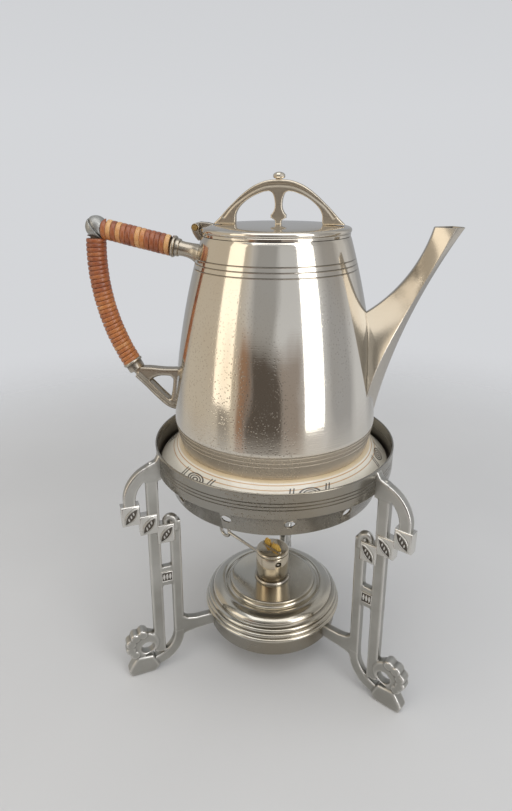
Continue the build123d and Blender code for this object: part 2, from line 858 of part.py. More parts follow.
def body_leaf():
    """Hinge leaf on the body with its two outer knuckles."""
    x, z = hinge_axis()
    half, mid = hinge_length / 2, lid_knuckle_length / 2 + hinge_gap
    plate = Pos(x, 0, z) * Box(2 * leaf_sheet, hinge_length, body_leaf_depth + 2,
                               align=(Align.MIN, Align.CENTER, Align.MAX))
    plate -= drum(lid_radius + hinge_gap, lid_base_z() - hinge_gap, z + 1)
    leaf_solid = plate + hinge_rod(mid, half, knuckle_radius) + hinge_rod(-half, -mid, knuckle_radius)
    leaf_solid -= hinge_rod(-mid, mid, knuckle_radius + hinge_gap)
    leaf_solid -= hinge_rod(-half - 1, half + 1, pin_radius + pin_clearance)
    return leaf_solid - pot_outside()


def lid_leaf():
    """Hinge leaf on the lid with its middle knuckle."""
    x, z = hinge_axis()
    half = lid_knuckle_length / 2
    top = lid_top_z() + leaf_sheet
    strap = Pos(x, 0, top) * Box(lid_leaf_length + knuckle_radius, lid_knuckle_length, top - z,
                                 align=(Align.MIN, Align.CENTER, Align.MAX))
    leaf_solid = strap + hinge_rod(-half, half, knuckle_radius)
    solid = leaf_solid - hinge_rod(-half - 1, half + 1, pin_radius + pin_clearance)
    return solid - lid_cover() - drum(lid_radius, 0, lid_top_z())


def bead_low_z():
    """Height of the underside of the lowest bead, which sits on the hoop."""
    return hoop_top_z


def bead_top_z():
    """Height where the beads end and the shoulder starts."""
    return bead_low_z() + tank_bead_count * tank_bead_height


def tank_bowl():
    """Lower half of the tank that drops into the hoop."""
    outer, wall = tank_seat_radius, tank_wall
    return turned(
        [
            (0, tank_bottom_z),
            (tank_floor_radius, tank_bottom_z),
            (outer, tank_bottom_z + 5),
            (outer, bead_low_z()),
            (outer - wall, bead_low_z()),
            (outer - wall, tank_bottom_z + 5 + wall),
            (tank_floor_radius, tank_bottom_z + wall),
            (0, tank_bottom_z + wall),
        ]
    )


def tank_rim_radius():
    """Radius of the seam where the beaded rim meets the cover."""
    return tank_edge_radius - (tank_bead_count - 1) * tank_bead_inset - tank_bead_depth


def tank_rim():
    """Beaded ring that stands on the hoop and joins the bowl to the cover."""
    outline = [(tank_inner_radius, bead_low_z())]
    for i in range(tank_bead_count):
        z = bead_low_z() + i * tank_bead_height
        edge = tank_edge_radius - i * tank_bead_inset
        outline += [(edge - tank_bead_depth, z), (edge, z + tank_bead_height / 2)]
    return turned(outline + [(tank_rim_radius(), bead_top_z()), (tank_inner_radius, bead_top_z())])


def tank_cover():
    """Top of the tank with its swelling shoulder and raised disc."""
    rim, step_z = tank_rim_radius(), tank_shoulder_z + tank_disc_edge / 2
    return turned(
        [
            (rim, bead_top_z()),
            ((rim + tank_shoulder_radius) / 2, (bead_top_z() + tank_shoulder_z) / 2 + tank_shoulder_bow),
            (tank_shoulder_radius, tank_shoulder_z),
            (tank_disc_radius, step_z),
            (tank_disc_radius, tank_disc_z),
            (neck_bore_radius, tank_disc_z),
            (neck_bore_radius, tank_disc_z - tank_wall),
            (tank_disc_radius - tank_wall, tank_disc_z - tank_wall),
            (tank_disc_radius - tank_wall, step_z),
            (tank_inner_radius, bead_top_z()),
        ]
    )


def neck_seat_z():
    """Height of the top of the neck collar."""
    return tank_disc_z + neck_collar_height


def neck_collar():
    """Collar soldered on the tank, with the bore that takes the burner head."""
    outer = drum(collar_outer_radius, tank_disc_z, neck_seat_z(), small_sides)
    return outer - drum(neck_bore_radius, tank_disc_z - 1, neck_seat_z() + 1, small_sides)


def on_wick(solid):
    """Turn a solid drawn with the wick's width along X to the wick's azimuth."""
    return Rot(0, 0, wick_azimuth) * solid


def flat_bar(width, thickness, low, high):
    """Upright bar of rectangular section on the axis."""
    return Pos(0, 0, low) * Box(width, thickness, high - low, align=(Align.CENTER, Align.CENTER, Align.MIN))


def tube_size():
    """Outside width and thickness of the wick tube."""
    grow = 2 * (wick_room + wick_tube_wall)
    return wick_width + grow, wick_thickness + grow


def shaft_rod(start, end, radius):
    """Rod on the wick shaft's axis between two distances along it."""
    return rod_between((start, shaft_offset, shaft_z), (end, shaft_offset, shaft_z), radius)


def neck_chord():
    """Half length of the shaft's path through the sleeve."""
    return math.sqrt(neck_radius**2 - shaft_offset**2)


def neck_sleeve():
    """Sleeve with a slotted top, a plug for the collar and bearing holes for the shaft."""
    seat = neck_seat_z()
    sleeve = turned(
        [
            (0, seat - plug_depth),
            (plug_radius, seat - plug_depth),
            (plug_radius, seat),
            (neck_radius, seat),
            (neck_radius, neck_top_z - neck_edge_round),
            (neck_radius - neck_edge_round, neck_top_z),
            (0, neck_top_z),
        ],
        small_sides,
    )
    sleeve -= drum(plug_radius - neck_wall, seat - plug_depth - 1, neck_top_z - neck_wall, small_sides)
    width, thickness = tube_size()
    sleeve -= on_wick(flat_bar(width + 0.1, thickness + 0.1, 0, neck_top_z + 1))
    reach = neck_radius + 1
    return sleeve - on_wick(shaft_rod(-reach, reach, journal_radius + journal_clearance))


def wick_tube():
    """Flat tube for the wick, with two windows for the star wheels."""
    width, thickness = tube_size()
    top = neck_top_z + wick_tube_proud
    tube = flat_bar(width, thickness, wick_tube_low_z, top)
    tube -= flat_bar(wick_width + 2 * wick_room, wick_thickness + 2 * wick_room, wick_tube_low_z, top)
    for side in (-1, 1):
        window = Box(window_width, thickness, window_height, align=(Align.CENTER, Align.MIN, Align.CENTER))
        tube -= Pos(side * wheel_spacing / 2, 0, shaft_z) * window
    return on_wick(tube)


def wick():
    """Flat cotton wick with a rounded top, from inside the tank to above the slot."""
    top = neck_top_z + wick_proud
    strip = flat_bar(wick_width, wick_thickness, wick_low_z, top)
    return on_wick(fillet(strip.edges().filter_by(Axis.Y).group_by(Axis.Z)[-1], wick_thickness))


def wheel_radius():
    """Tip radius of the star wheels, which just reach the wick's face."""
    return shaft_offset - wick_thickness / 2 - wheel_gap


def wick_shaft():
    """Stepped shaft with two star wheels inside the sleeve and a thumb loop on its outer end."""
    half = neck_chord()
    shaft = shaft_rod(-half, journal_length - half, journal_radius)
    shaft += shaft_rod(half - journal_length, half, journal_radius)
    start_plane = Plane(origin=(-half, shaft_offset, shaft_z), z_dir=(1, 0, 0))
    core = start_plane * RegularPolygon(shaft_radius, wheel_teeth)
    shaft += extrude(core, amount=half + loop_distance - loop_radius)
    for side in (-1, 1):
        shaft += Pos(side * wheel_spacing / 2, shaft_offset, shaft_z) * Rot(0, 90, 0) * star_wheel()
    wire = [(loop_radius + r, z) for r, z in hexagon(loop_wire_radius)]
    loop = Rot(90, 0, 0) * turned(wire, 2 * fitting_sides)
    return on_wick(shaft + Pos(loop_distance, shaft_offset, shaft_z) * loop)


def hexagon(radius):
    """Corners of a hexagon."""
    return [(radius * math.cos(math.radians(a)), radius * math.sin(math.radians(a))) for a in range(0, 360, 60)]


def star_wheel():
    """Toothed wheel that grips the wick."""
    tip, root = wheel_radius(), wheel_radius() * wheel_root_share
    points = []
    for i in range(2 * wheel_teeth):
        angle = math.pi * i / wheel_teeth
        radius = root if i % 2 else tip
        points.append((radius * math.cos(angle), radius * math.sin(angle)))
    return extrude(make_face(Polyline(*points, close=True)), amount=wheel_thickness / 2, both=True)


parts = {
    "tray_gallery": tray_gallery,
    "burner_hoop": burner_hoop,
    "leg_screws": leg_screws,
    "ceramic_ring": ceramic_ring,
    "pot_body": pot_body,
    "pot_base": pot_base,
    "spout": spout,
    "upper_socket": upper_socket,
    "upper_bar": upper_bar,
    "handle_knee": handle_knee,
    "lower_bar": lower_bar,
    "lower_bracket": lower_bracket,
    "cane_wraps": cane_wraps,
    "body_leaf": body_leaf,
    "hinge_pin": hinge_pin,
    "lid_cover": lid_cover,
    "lid_skirt": lid_skirt,
    "lid_arch": lid_arch,
    "lid_button": lid_button,
    "lid_leaf": lid_leaf,
    "tank_bowl": tank_bowl,
    "tank_rim": tank_rim,
    "tank_cover": tank_cover,
    "neck_collar": neck_collar,
    "neck_sleeve": neck_sleeve,
    "wick_tube": wick_tube,
    "wick_shaft": wick_shaft,
    "wick": wick,
}

os.makedirs("parts", exist_ok=True)
one_leg = leg()
solids = {name: make() for name, make in parts.items()}
for name, azimuth in zip(("leg_back", "leg_left", "leg_right"), leg_azimuths):
    solids[name] = Rot(0, 0, azimuth) * one_leg
box = Compound(list(solids.values())).bounding_box()
offset = Vector(-box.center().X, -box.center().Y, 0)
for name, solid in solids.items():
    export_step(Pos(*offset) * solid, f"parts/{name}.step")
print("offset", offset, "size", box.size)
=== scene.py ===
import math
import random

import bmesh
import bpy
from mathutils import Matrix, Vector


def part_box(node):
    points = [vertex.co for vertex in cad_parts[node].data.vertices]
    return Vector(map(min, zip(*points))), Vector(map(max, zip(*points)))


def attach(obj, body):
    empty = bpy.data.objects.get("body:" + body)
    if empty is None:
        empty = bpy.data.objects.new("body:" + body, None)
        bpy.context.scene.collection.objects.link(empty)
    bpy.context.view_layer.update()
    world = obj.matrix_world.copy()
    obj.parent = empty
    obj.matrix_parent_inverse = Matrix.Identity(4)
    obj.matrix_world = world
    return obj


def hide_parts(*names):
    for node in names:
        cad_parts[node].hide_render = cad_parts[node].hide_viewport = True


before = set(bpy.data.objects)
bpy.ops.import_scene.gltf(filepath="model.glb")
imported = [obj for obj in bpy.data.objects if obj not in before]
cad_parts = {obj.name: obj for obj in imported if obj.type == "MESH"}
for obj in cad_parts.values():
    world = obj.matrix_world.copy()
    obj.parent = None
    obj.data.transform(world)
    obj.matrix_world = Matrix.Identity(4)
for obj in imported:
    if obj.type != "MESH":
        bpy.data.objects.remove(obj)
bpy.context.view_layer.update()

# Coffee pot with hinged lid on a three-legged warmer.
# Shapes are given in millimetres about the stand's axis, with z = 0 on the table.
MM = 0.001
MERGE_MM = 0.0001
low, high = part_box("tank_bowl")
AXIS = Vector(((low.x + high.x) / 2, (low.y + high.y) / 2, 0))
LEG_AZIMUTHS = {"leg_back": 90.0, "leg_left": 210.0, "leg_right": 330.0}
WICK_AZIMUTH = math.radians(142.0)
X_WAY, Y_WAY = Vector((1, 0, 0)), Vector((0, 1, 0))
BASE_Z, BELLY_Z, MOUTH_Z = 166.5, 182.0, 291.5
BASE_R, BELLY_R, MOUTH_R = 59.2, 62.5, 42.0
SIDE_BOW = 3.55
rng = random.Random(12)


# Shader graphs
class Value:
    """A socket of a finish that can be used in sums."""

    def __init__(self, finish, socket):
        self.finish = finish
        self.socket = socket

    def maths(self, operation, first, second):
        return self.finish.node("Math", {0: first, 1: second}, operation=operation)

    def __add__(self, other):
        return self.maths("ADD", self, other)

    def __radd__(self, other):
        return self.maths("ADD", other, self)

    def __sub__(self, other):
        return self.maths("SUBTRACT", self, other)

    def __rsub__(self, other):
        return self.maths("SUBTRACT", other, self)

    def __mul__(self, other):
        return self.maths("MULTIPLY", self, other)

    def __rmul__(self, other):
        return self.maths("MULTIPLY", other, self)

    def __truediv__(self, other):
        return self.maths("DIVIDE", self, other)

    def __pow__(self, other):
        return self.maths("POWER", self, other)


class Finish:
    """The node graph of one material."""

    def __init__(self, name, tree=None):
        if tree is None:
            self.material = bpy.data.materials.new(name)
            self.material.use_nodes = True
            tree = self.material.node_tree
        self.tree = tree
        self.tree.nodes.clear()

    def node(self, kind, values=None, out=0, stops=None, **settings):
        made = self.tree.nodes.new("ShaderNode" + kind)
        for key, setting in settings.items():
            setattr(made, key, setting)
        if stops:
            ramp = made.color_ramp
            while len(ramp.elements) < len(stops):
                ramp.elements.new(0.5)
            for element, (place, colour) in zip(ramp.elements, stops):
                element.position = place
                element.color = (*colour, 1)
        for key, value in (values or {}).items():
            socket = made.inputs[key]
            if isinstance(value, Value):
                self.tree.links.new(value.socket, socket)
            else:
                socket.default_value = (*value, 1) if socket.type == "RGBA" else value
        return Value(self, made.outputs[out]) if made.outputs else None

    def place(self):
        return self.node("TexCoord", out="Object")

    def height(self):
        return self.node("SeparateXYZ", {"Vector": self.place()}, out=2)

    def noise(self, scale, stretch=(1, 1, 1), detail=3.0):
        at = self.node("Mapping", {"Vector": self.place(), "Scale": stretch})
        return self.node("TexNoise", {"Vector": at, "Scale": scale, "Detail": detail})

    def ramp(self, value, start, end, low=0.0, high=1.0):
        return self.node("MapRange", {0: value, 1: start, 2: end, 3: low, 4: high})

    def edges(self, start, end, low=0.0, high=1.0):
        """Mask by how far an edge stands out, with sunk lines below a half and raised ones above it."""
        return self.ramp(self.node("NewGeometry", out="Pointiness"), start, end, low, high)

    def band(self, value, middle, half, soft=0.12):
        """One where the value is within half a width of the middle, and nought outside."""
        away = self.node("Math", {0: value - middle}, operation="ABSOLUTE")
        return self.ramp(away, half - soft, half + soft, 1.0, 0.0)

    def mix(self, mask, first, second):
        return self.node("Mix", {0: mask, 6: first, 7: second}, out=2, data_type="RGBA")

    def bump(self, height, distance, strength=1.0):
        return self.node("Bump", {"Height": height, "Distance": distance, "Strength": strength})

    def show(self, **values):
        shader = self.node("BsdfPrincipled", {key.replace("_", " "): value for key, value in values.items()})
        self.node("OutputMaterial", {"Surface": shader})
        return self.material


def polished_pewter(name="polished_pewter", tone=(0.74, 0.70, 0.63), rough=0.075, spotting=1.0, foot_reflection=0.0):
    """Old polished metal with fine polishing lines, water spots, a warm tarnish and painted shade in the
    incised lines.
    """
    f = Finish(name)
    cloud = f.noise(14, (1, 1, 0.5), detail=4)
    tarnish = f.ramp(cloud, 0.42, 0.66)
    height = f.height()
    # Painted reflection: below the belly kink the foot band turns warm brown and less metallic, standing in
    # for the lit cream ring that it reflects.
    foot_reflection_mask = f.ramp(height + cloud * 0.004, (BELLY_Z + 0.5) * MM, (BELLY_Z + 3.0) * MM, foot_reflection, 0.0)
    pits = f.ramp(f.node("TexVoronoi", {"Vector": f.place(), "Scale": 640.0}), 0.16, 0.34, 1.0, 0.0)
    low_on_pot = f.ramp(height, 205 * MM, 265 * MM, 1.0, 0.25)
    dull = f.ramp(f.noise(22, (1, 1, 0.4), detail=3), 0.44, 0.60) * low_on_pot
    spotted = pits * dull * spotting * (1 - foot_reflection_mask * 0.8)
    # Painted shade: the colour is darkened in sunk grooves, where Pointiness is low.
    sunk = f.edges(0.450, 0.485, 1.0, 0.0)
    lines = f.noise(60, (0.6, 0.6, 26), detail=2)
    colour = f.mix(tarnish * 0.7, tone, (tone[0] * 0.88, tone[1] * 0.78, tone[2] * 0.64))
    colour = f.mix(spotted * 0.6, colour, (0.26, 0.22, 0.17))
    colour = f.mix(sunk * 0.85, colour, (0.09, 0.075, 0.06))
    # Painted warm reflection of the ring on the foot band.
    colour = f.mix(foot_reflection_mask * 0.6, colour, (0.52, 0.44, 0.33))
    roughness = rough + tarnish * 0.03 + dull * 0.02 + spotted * 0.2 + sunk * 0.2 + foot_reflection_mask * 0.16
    roughness = roughness + (lines - 0.5) * 0.04
    normal = f.bump(lines * 0.5 + f.noise(9, detail=1) * 4 - spotted * 2, 0.00004, 0.4)
    return f.show(Base_Color=colour, Metallic=1 - foot_reflection_mask * 0.5, Roughness=roughness, Normal=normal)


def cast_metal():
    """Grey cast metal, with painted shade in the hollows and painted highlights on the raised edges."""
    f = Finish("cast_metal")
    cloud = f.noise(30, detail=5)
    grain = f.noise(900, detail=2)
    # Painted highlight: raised edges are lightened, with lower roughness there.
    highlit_edges = f.edges(0.503, 0.54)
    # Painted shade: the hollows are darkened.
    sunk = f.edges(0.455, 0.497, 1.0, 0.0)
    colour = f.mix(f.ramp(cloud, 0.35, 0.7), (0.46, 0.45, 0.42), (0.33, 0.32, 0.29))
    colour = f.mix(highlit_edges * 0.9, colour, (0.72, 0.70, 0.66))
    colour = f.mix(sunk * 0.85, colour, (0.09, 0.085, 0.075))
    roughness = 0.32 + cloud * 0.12 - highlit_edges * 0.12
    return f.show(Base_Color=colour, Metallic=1.0, Roughness=roughness, Normal=f.bump(grain, 0.00006, 0.6))


def lead_grey():
    """Dull soft metal of the handle's knee."""
    f = Finish("lead_grey")
    cloud = f.noise(120, detail=4)
    colour = f.mix(f.ramp(cloud, 0.35, 0.7), (0.47, 0.465, 0.44), (0.30, 0.30, 0.29))
    return f.show(Base_Color=colour, Metallic=0.85, Roughness=0.34 + cloud * 0.15,
                  Normal=f.bump(f.noise(700), 0.00008, 0.5))


def glazed_ceramic():
    """Cream glaze with a buff band, thin orange lines, and ovals between pairs of short dark bars."""
    f = Finish("glazed_ceramic")
    motifs, motif_turn, motif_r = 6, 6.583, 66.8
    place = f.node("VectorMath", {0: f.place(), 1: tuple(-AXIS)}, operation="ADD")
    x, y = (f.node("SeparateXYZ", {"Vector": place}, out=i) for i in range(2))
    radius = (x * x + y * y) ** 0.5 * (1 / MM)
    turn = f.node("Math", {0: y, 1: x}, operation="ARCTAN2") * (motifs / math.tau) + motif_turn
    part = f.node("Math", {0: turn}, operation="FRACT") - 0.5
    along = part * radius * (math.tau / motifs)
    buff = f.band(radius, 59.4, 2.0, 0.3)
    lines = f.band(radius, 62.4, 0.22) + f.band(radius, 64.6, 0.2)
    slanted = along + (radius - 66.5) * 0.5
    bars = sum(f.band(slanted, middle, 0.42) for middle in (-11.6, -9.6, 9.6, 11.6))
    bars = bars * f.band(radius, 66.6, 2.8)
    outward = radius - motif_r
    oval = (along * along / 36 + outward * outward / 6) ** 0.5
    ring = sum(f.band(oval, size, half, 0.05) for size, half in ((1.0, 0.10), (0.66, 0.09), (0.3, 0.10)))
    dark = f.ramp(bars + ring, 0.0, 1.0)
    cloud = f.noise(40, detail=4)
    cream = f.mix(f.ramp(cloud, 0.3, 0.75), (0.86, 0.82, 0.72), (0.80, 0.74, 0.62))
    colour = f.mix(buff * 0.75, cream, (0.64, 0.48, 0.26))
    colour = f.mix(f.ramp(lines, 0.0, 1.0) * 0.85, colour, (0.52, 0.26, 0.07))
    colour = f.mix(dark * 0.95, colour, (0.025, 0.022, 0.02))
    crackle = f.node("TexVoronoi", {"Vector": f.place(), "Scale": 160.0}, feature="DISTANCE_TO_EDGE")
    colour = f.mix(f.ramp(crackle, 0.0, 0.02, 0.25, 0.0), colour, (0.42, 0.34, 0.24))
    return f.show(Base_Color=colour, Roughness=0.16 + cloud * 0.08, Coat_Weight=0.6, Coat_Roughness=0.08,
                  Normal=f.bump(f.noise(60, detail=1), 0.0002, 0.3))


def varnished_cane():
    """Split cane under old varnish, each turn a little different, with painted shade where the turns meet."""
    f = Finish("varnished_cane")
    tone = f.node("Attribute", out="Fac", attribute_name="cane_tone")
    edge = f.node("Attribute", out="Fac", attribute_name="cane_flank_shade")
    fibre = f.noise(1500, detail=3)
    streak = f.noise(220, detail=4)
    colour = f.node("ValToRGB", {"Fac": tone + (streak - 0.5) * 0.45}, stops=[
        (0.0, (0.12, 0.028, 0.010)), (0.35, (0.30, 0.080, 0.024)),
        (0.65, (0.48, 0.170, 0.045)), (1.0, (0.72, 0.44, 0.180))])
    # Painted shade: each strand is darkened on its flanks, where it meets the next turn.
    colour = f.mix(f.ramp(edge, 0.62, 1.05) * 0.9, colour, (0.040, 0.012, 0.006))
    roughness = 0.30 + streak * 0.25
    return f.show(Base_Color=colour, Roughness=roughness, Coat_Weight=0.45, Coat_Roughness=0.18,
                  Normal=f.bump(fibre, 0.00008, 0.6))


def worn_brass():
    """Brass of the hinge pin."""
    f = Finish("worn_brass")
    cloud = f.noise(500, detail=4)
    colour = f.mix(f.ramp(cloud, 0.35, 0.7), (0.78, 0.56, 0.22), (0.50, 0.33, 0.12))
    return f.show(Base_Color=colour, Metallic=1.0, Roughness=0.22 + cloud * 0.2)


def stained_cotton():
    """Cotton wick, pale below and golden with spirit at its tip."""
    f = Finish("stained_cotton")
    strands = f.noise(900, (1, 1, 0.25), detail=4)
    colour = f.mix(f.ramp(strands, 0.35, 0.65), (0.62, 0.35, 0.05), (0.85, 0.60, 0.17))
    colour = f.mix(f.ramp(f.height(), 60 * MM, 77 * MM, 0.8, 0.0), colour, (0.75, 0.70, 0.58))
    return f.show(Base_Color=colour, Roughness=0.9, Normal=f.bump(strands, 0.0004, 0.8))


def dark_wood():
    """Core of the handle under the cane."""
    f = Finish("dark_wood")
    grain = f.noise(200, (1, 1, 0.2), detail=4)
    colour = f.mix(grain, (0.05, 0.03, 0.02), (0.12, 0.07, 0.04))
    return f.show(Base_Color=colour, Roughness=0.6, Normal=f.bump(grain, 0.0001))


PEWTER = polished_pewter()
# The body's foot band gets the painted warm reflection of the ring.
BODY_PEWTER = polished_pewter("body_pewter", foot_reflection=1.0)
SPOUT_PEWTER = polished_pewter("spout_pewter", (0.58, 0.53, 0.455), 0.17, 0.3)
GRIP_PEWTER = polished_pewter("grip_pewter", (0.72, 0.66, 0.56), 0.27, 0.1)
DULL_PEWTER = polished_pewter("dull_pewter", (0.50, 0.475, 0.43), 0.24, 0.6)
# Dark copy of the pewter for the tray: painted dark reflections, because the room around is pale.
TRAY_PEWTER = polished_pewter("tray_pewter", (0.34, 0.325, 0.29), 0.19, 1.4)
TANK_PEWTER = polished_pewter("burner_pewter", (0.57, 0.555, 0.505), 0.13, 0.3)
NECK_PEWTER = polished_pewter("smoked_pewter", (0.58, 0.52, 0.42), 0.16, 0.3)
# Darker copy of the pewter: painted shade on the hoop and on the burner's lower bowl.
DARK_PEWTER = polished_pewter("shaded_pewter", (0.31, 0.295, 0.26), 0.26, 0.6)
CAST = cast_metal()
# Near-black pewter for sheets that stand for shade in the recesses of the legs.
RECESS = polished_pewter("recess_shade_pewter", (0.13, 0.12, 0.11), 0.45, 0.0)
LEAD = lead_grey()
CERAMIC = glazed_ceramic()
CANE = varnished_cane()
BRASS = worn_brass()
COTTON = stained_cotton()
WOOD = dark_wood()


# Shapes as lists of corners and faces
class Shape:
    """Corners and faces of one piece, in millimetres about the stand's axis."""

    def __init__(self, points=(), faces=()):
        self.points = [Vector(p) for p in points]
        self.faces = [tuple(face) for face in faces]

    def add(self, other):
        start = len(self.points)
        self.points += other.points
        self.faces += [tuple(i + start for i in face) for face in other.faces]
        return self

    def moved(self, matrix):
        return Shape([matrix @ p for p in self.points], self.faces)

    def turned_by(self, degrees):
        return self.moved(Matrix.Rotation(math.radians(degrees), 4, "Z"))


def turns(count):
    return [math.tau * i / count for i in range(count)]


def lathe(outline, steps=128, closed=True):
    """Turned form about Z from (radius, height) points. Each point on the axis becomes one corner."""
    shape = Shape()
    rings = []
    for radius, z in outline:
        count = 1 if radius < 1e-6 else steps
        start = len(shape.points)
        rings.append([start + i % count for i in range(steps)])
        for a in turns(steps)[:count]:
            shape.points.append(Vector((radius * math.cos(a), radius * math.sin(a), z)))
    pairs = list(zip(rings, rings[1:]))
    if closed:
        pairs.append((rings[-1], rings[0]))
    for one, two in pairs:
        for i in range(steps):
            j = (i + 1) % steps
            corners = tuple(dict.fromkeys((one[i], one[j], two[j], two[i])))
            if len(corners) > 2:
                shape.faces.append(corners)
    return shape


def loft(rings, closed=False):
    """Skin through rings of points with the same count."""
    count = len(rings[0])
    shape = Shape([p for ring in rings for p in ring])
    spans = len(rings) if closed else len(rings) - 1
    for k in range(spans):
        a, b = k * count, ((k + 1) % len(rings)) * count
        for i in range(count):
            j = (i + 1) % count
            shape.faces.append((a + i, a + j, b + j, b + i))
    if not closed:
        shape.faces.append(tuple(reversed(range(count))))
        last = (len(rings) - 1) * count
        shape.faces.append(tuple(range(last, last + count)))
    return shape


def bow(centre, radius, start, end, count):
    """Points on an arc in two dimensions, with angles in degrees."""
    step = (end - start) / count
    angles = [math.radians(start + step * i) for i in range(count + 1)]
    return [(centre[0] + radius * math.cos(a), centre[1] + radius * math.sin(a)) for a in angles]


def through(points, per):
    """Smooth line through points in any number of dimensions."""
    points = [Vector(p) for p in points]
    padded = [points[0] * 2 - points[1]] + points + [points[-1] * 2 - points[-2]]
    line = []
    for a, b, c, d in zip(padded, padded[1:], padded[2:], padded[3:]):
        for i in range(per):
            t = i / per
            line.append((b * 2 + (c - a) * t + (a * 2 - b * 5 + c * 4 - d) * t * t
                         + (b * 3 - a - c * 3 + d) * t**3) * 0.5)
    return line + [points[-1]]


def box_loop(low, high):
    return [(low[0], low[1]), (high[0], low[1]), (high[0], high[1]), (low[0], high[1])]


def upright(line, y=0.0):
    """Line in the plane of (x, z) points, set at a distance across it."""
    return [Vector((x, y, z)) for x, z in line]


def other_half(line):
    """The line on the other side of the middle, from its far end back."""
    return [(-x, z) for x, z in reversed(line)]


def ball(radius, count=8, steps=20):
    return lathe([(0, -radius)] + bow((0, 0), radius, -75, 75, count) + [(0, radius)], steps)


def raw_mesh(name, points, faces):
    mesh = bpy.data.meshes.new(name)
    mesh.from_pydata([tuple(p) for p in points], [], faces)
    return mesh


def cleaned(mesh, merge):
    """Mesh with corners closer than the merge distance joined, and its faces turned outward."""
    work = bmesh.new()
    work.from_mesh(mesh)
    if merge:
        bmesh.ops.remove_doubles(work, verts=work.verts, dist=merge)
    bmesh.ops.recalc_face_normals(work, faces=work.faces)
    work.to_mesh(mesh)
    work.free()
    return mesh


def mesh_of(shape):
    return cleaned(raw_mesh("shape", shape.points, shape.faces), MERGE_MM)


def shape_of(mesh):
    return Shape([v.co.copy() for v in mesh.vertices], [tuple(p.vertices) for p in mesh.polygons])


def linked(name, data):
    item = bpy.data.objects.new(name, data)
    bpy.context.collection.objects.link(item)
    return item


def finished(item, *helpers):
    """Shape of an object after its modifiers or bevel. The object and its helpers are removed."""
    bpy.context.view_layer.update()
    mesh = bpy.data.meshes.new_from_object(item.evaluated_get(bpy.context.evaluated_depsgraph_get()))
    made = shape_of(mesh)
    for used in (item, *helpers):
        bpy.data.objects.remove(used)
    bpy.data.meshes.remove(mesh)
    return made


def worked(shape, *steps):
    """Shape after modifiers, each given as (kind, settings)."""
    item = linked("work", mesh_of(shape))
    helpers = []
    for kind, settings in steps:
        modifier = item.modifiers.new(kind, kind)
        for key, value in settings.items():
            if isinstance(value, Shape):
                value = linked("helper", mesh_of(value))
                helpers.append(value)
            setattr(modifier, key, value)
    return finished(item, *helpers)


def cut(shape, *cutters):
    """Shape with other closed forms taken out of it."""
    steps = [("BOOLEAN", {"operation": "DIFFERENCE", "object": c, "solver": "EXACT"}) for c in cutters]
    return worked(shape, *steps)


def blended(shape, size, rounds=3):
    """Overlapping forms grown into one skin with soft inner corners, as in a casting."""
    return worked(shape, ("REMESH", {"mode": "VOXEL", "voxel_size": size}),
                  ("SMOOTH", {"factor": 0.5, "iterations": rounds}))


def plate(outline, thickness, edge, resolution=2, hole=None):
    """Flat plate in the leg's plane from (radius, height) outlines, with rounded edges."""
    curve = bpy.data.curves.new("outline", "CURVE")
    curve.dimensions = "2D"
    curve.fill_mode = "BOTH"
    curve.extrude = thickness / 2 - edge
    curve.bevel_depth = edge
    curve.bevel_resolution = resolution
    curve.offset = -edge
    for loop in filter(None, (outline, hole)):
        spline = curve.splines.new("POLY")
        spline.points.add(len(loop) - 1)
        for point, place in zip(spline.points, loop):
            point.co = (place[0], place[1], 0, 1)
        spline.use_cyclic_u = True
    return finished(linked("outline", curve)).moved(Matrix.Rotation(math.radians(90), 4, "X"))


def piece(name, shape, body, finish, replaces, crease=35.0, marks=None):
    """Put a shape into the scene as a piece that rides on a body."""
    mesh = raw_mesh(name, [p * MM + AXIS for p in shape.points], shape.faces)
    for mark, values in (marks or {}).items():
        layer = mesh.attributes.new(mark, "FLOAT", "POINT")
        layer.data.foreach_set("value", values)
    cleaned(mesh, 0 if marks else MERGE_MM * MM)
    mesh.shade_smooth()
    mesh.set_sharp_from_angle(angle=math.radians(crease))
    item = linked(name, mesh)
    mesh.materials.append(finish)
    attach(item, body)
    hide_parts(*replaces)


def grooved(start, end, count, spacing, offset=0.0):
    """Straight profile from start to end with incised lines round its middle."""
    width, depth = 0.7, 0.4
    start, end = Vector(start), Vector(end)
    along = (end - start).normalized()
    inward = Vector((-along.y, along.x)) * math.copysign(1, along.y)
    middle = (start + end) / 2 + along * offset
    groove = [(-1.1, 0), (-0.5, 0), (-0.36, 0.55), (-0.12, 1), (0.12, 1), (0.36, 0.55), (0.5, 0), (1.1, 0)]
    line = [tuple(start)]
    for i in range(count):
        centre = middle + along * (spacing * (i - (count - 1) / 2))
        line += [tuple(centre + along * (width * run) + inward * (depth * sink)) for run, sink in groove]
    return line + [tuple(end)]


# Camera at the photograph's place
PHOTO_HEIGHT, FOCAL_PIXELS, SENSOR = 811.0, 560.0, 36.0
camera_data = bpy.data.cameras.new("camera")
camera_data.sensor_width = SENSOR
camera_data.lens = FOCAL_PIXELS / PHOTO_HEIGHT * SENSOR
camera_data.clip_start = 0.01
camera_data.clip_end = 30.0
camera = linked("camera", camera_data)
heading, pitch, roll = math.radians(99.31), math.radians(-22.13), math.radians(-0.10)
look = Vector((math.cos(heading) * math.cos(pitch), math.sin(heading) * math.cos(pitch), math.sin(pitch)))
camera.location = Vector((42.0, -327.8, 321.4)) * MM + AXIS
camera.rotation_mode = "QUATERNION"
camera.rotation_quaternion = look.to_track_quat("-Z", "Y") @ Matrix.Rotation(roll, 3, "Z").to_quaternion()
bpy.context.scene.camera = camera


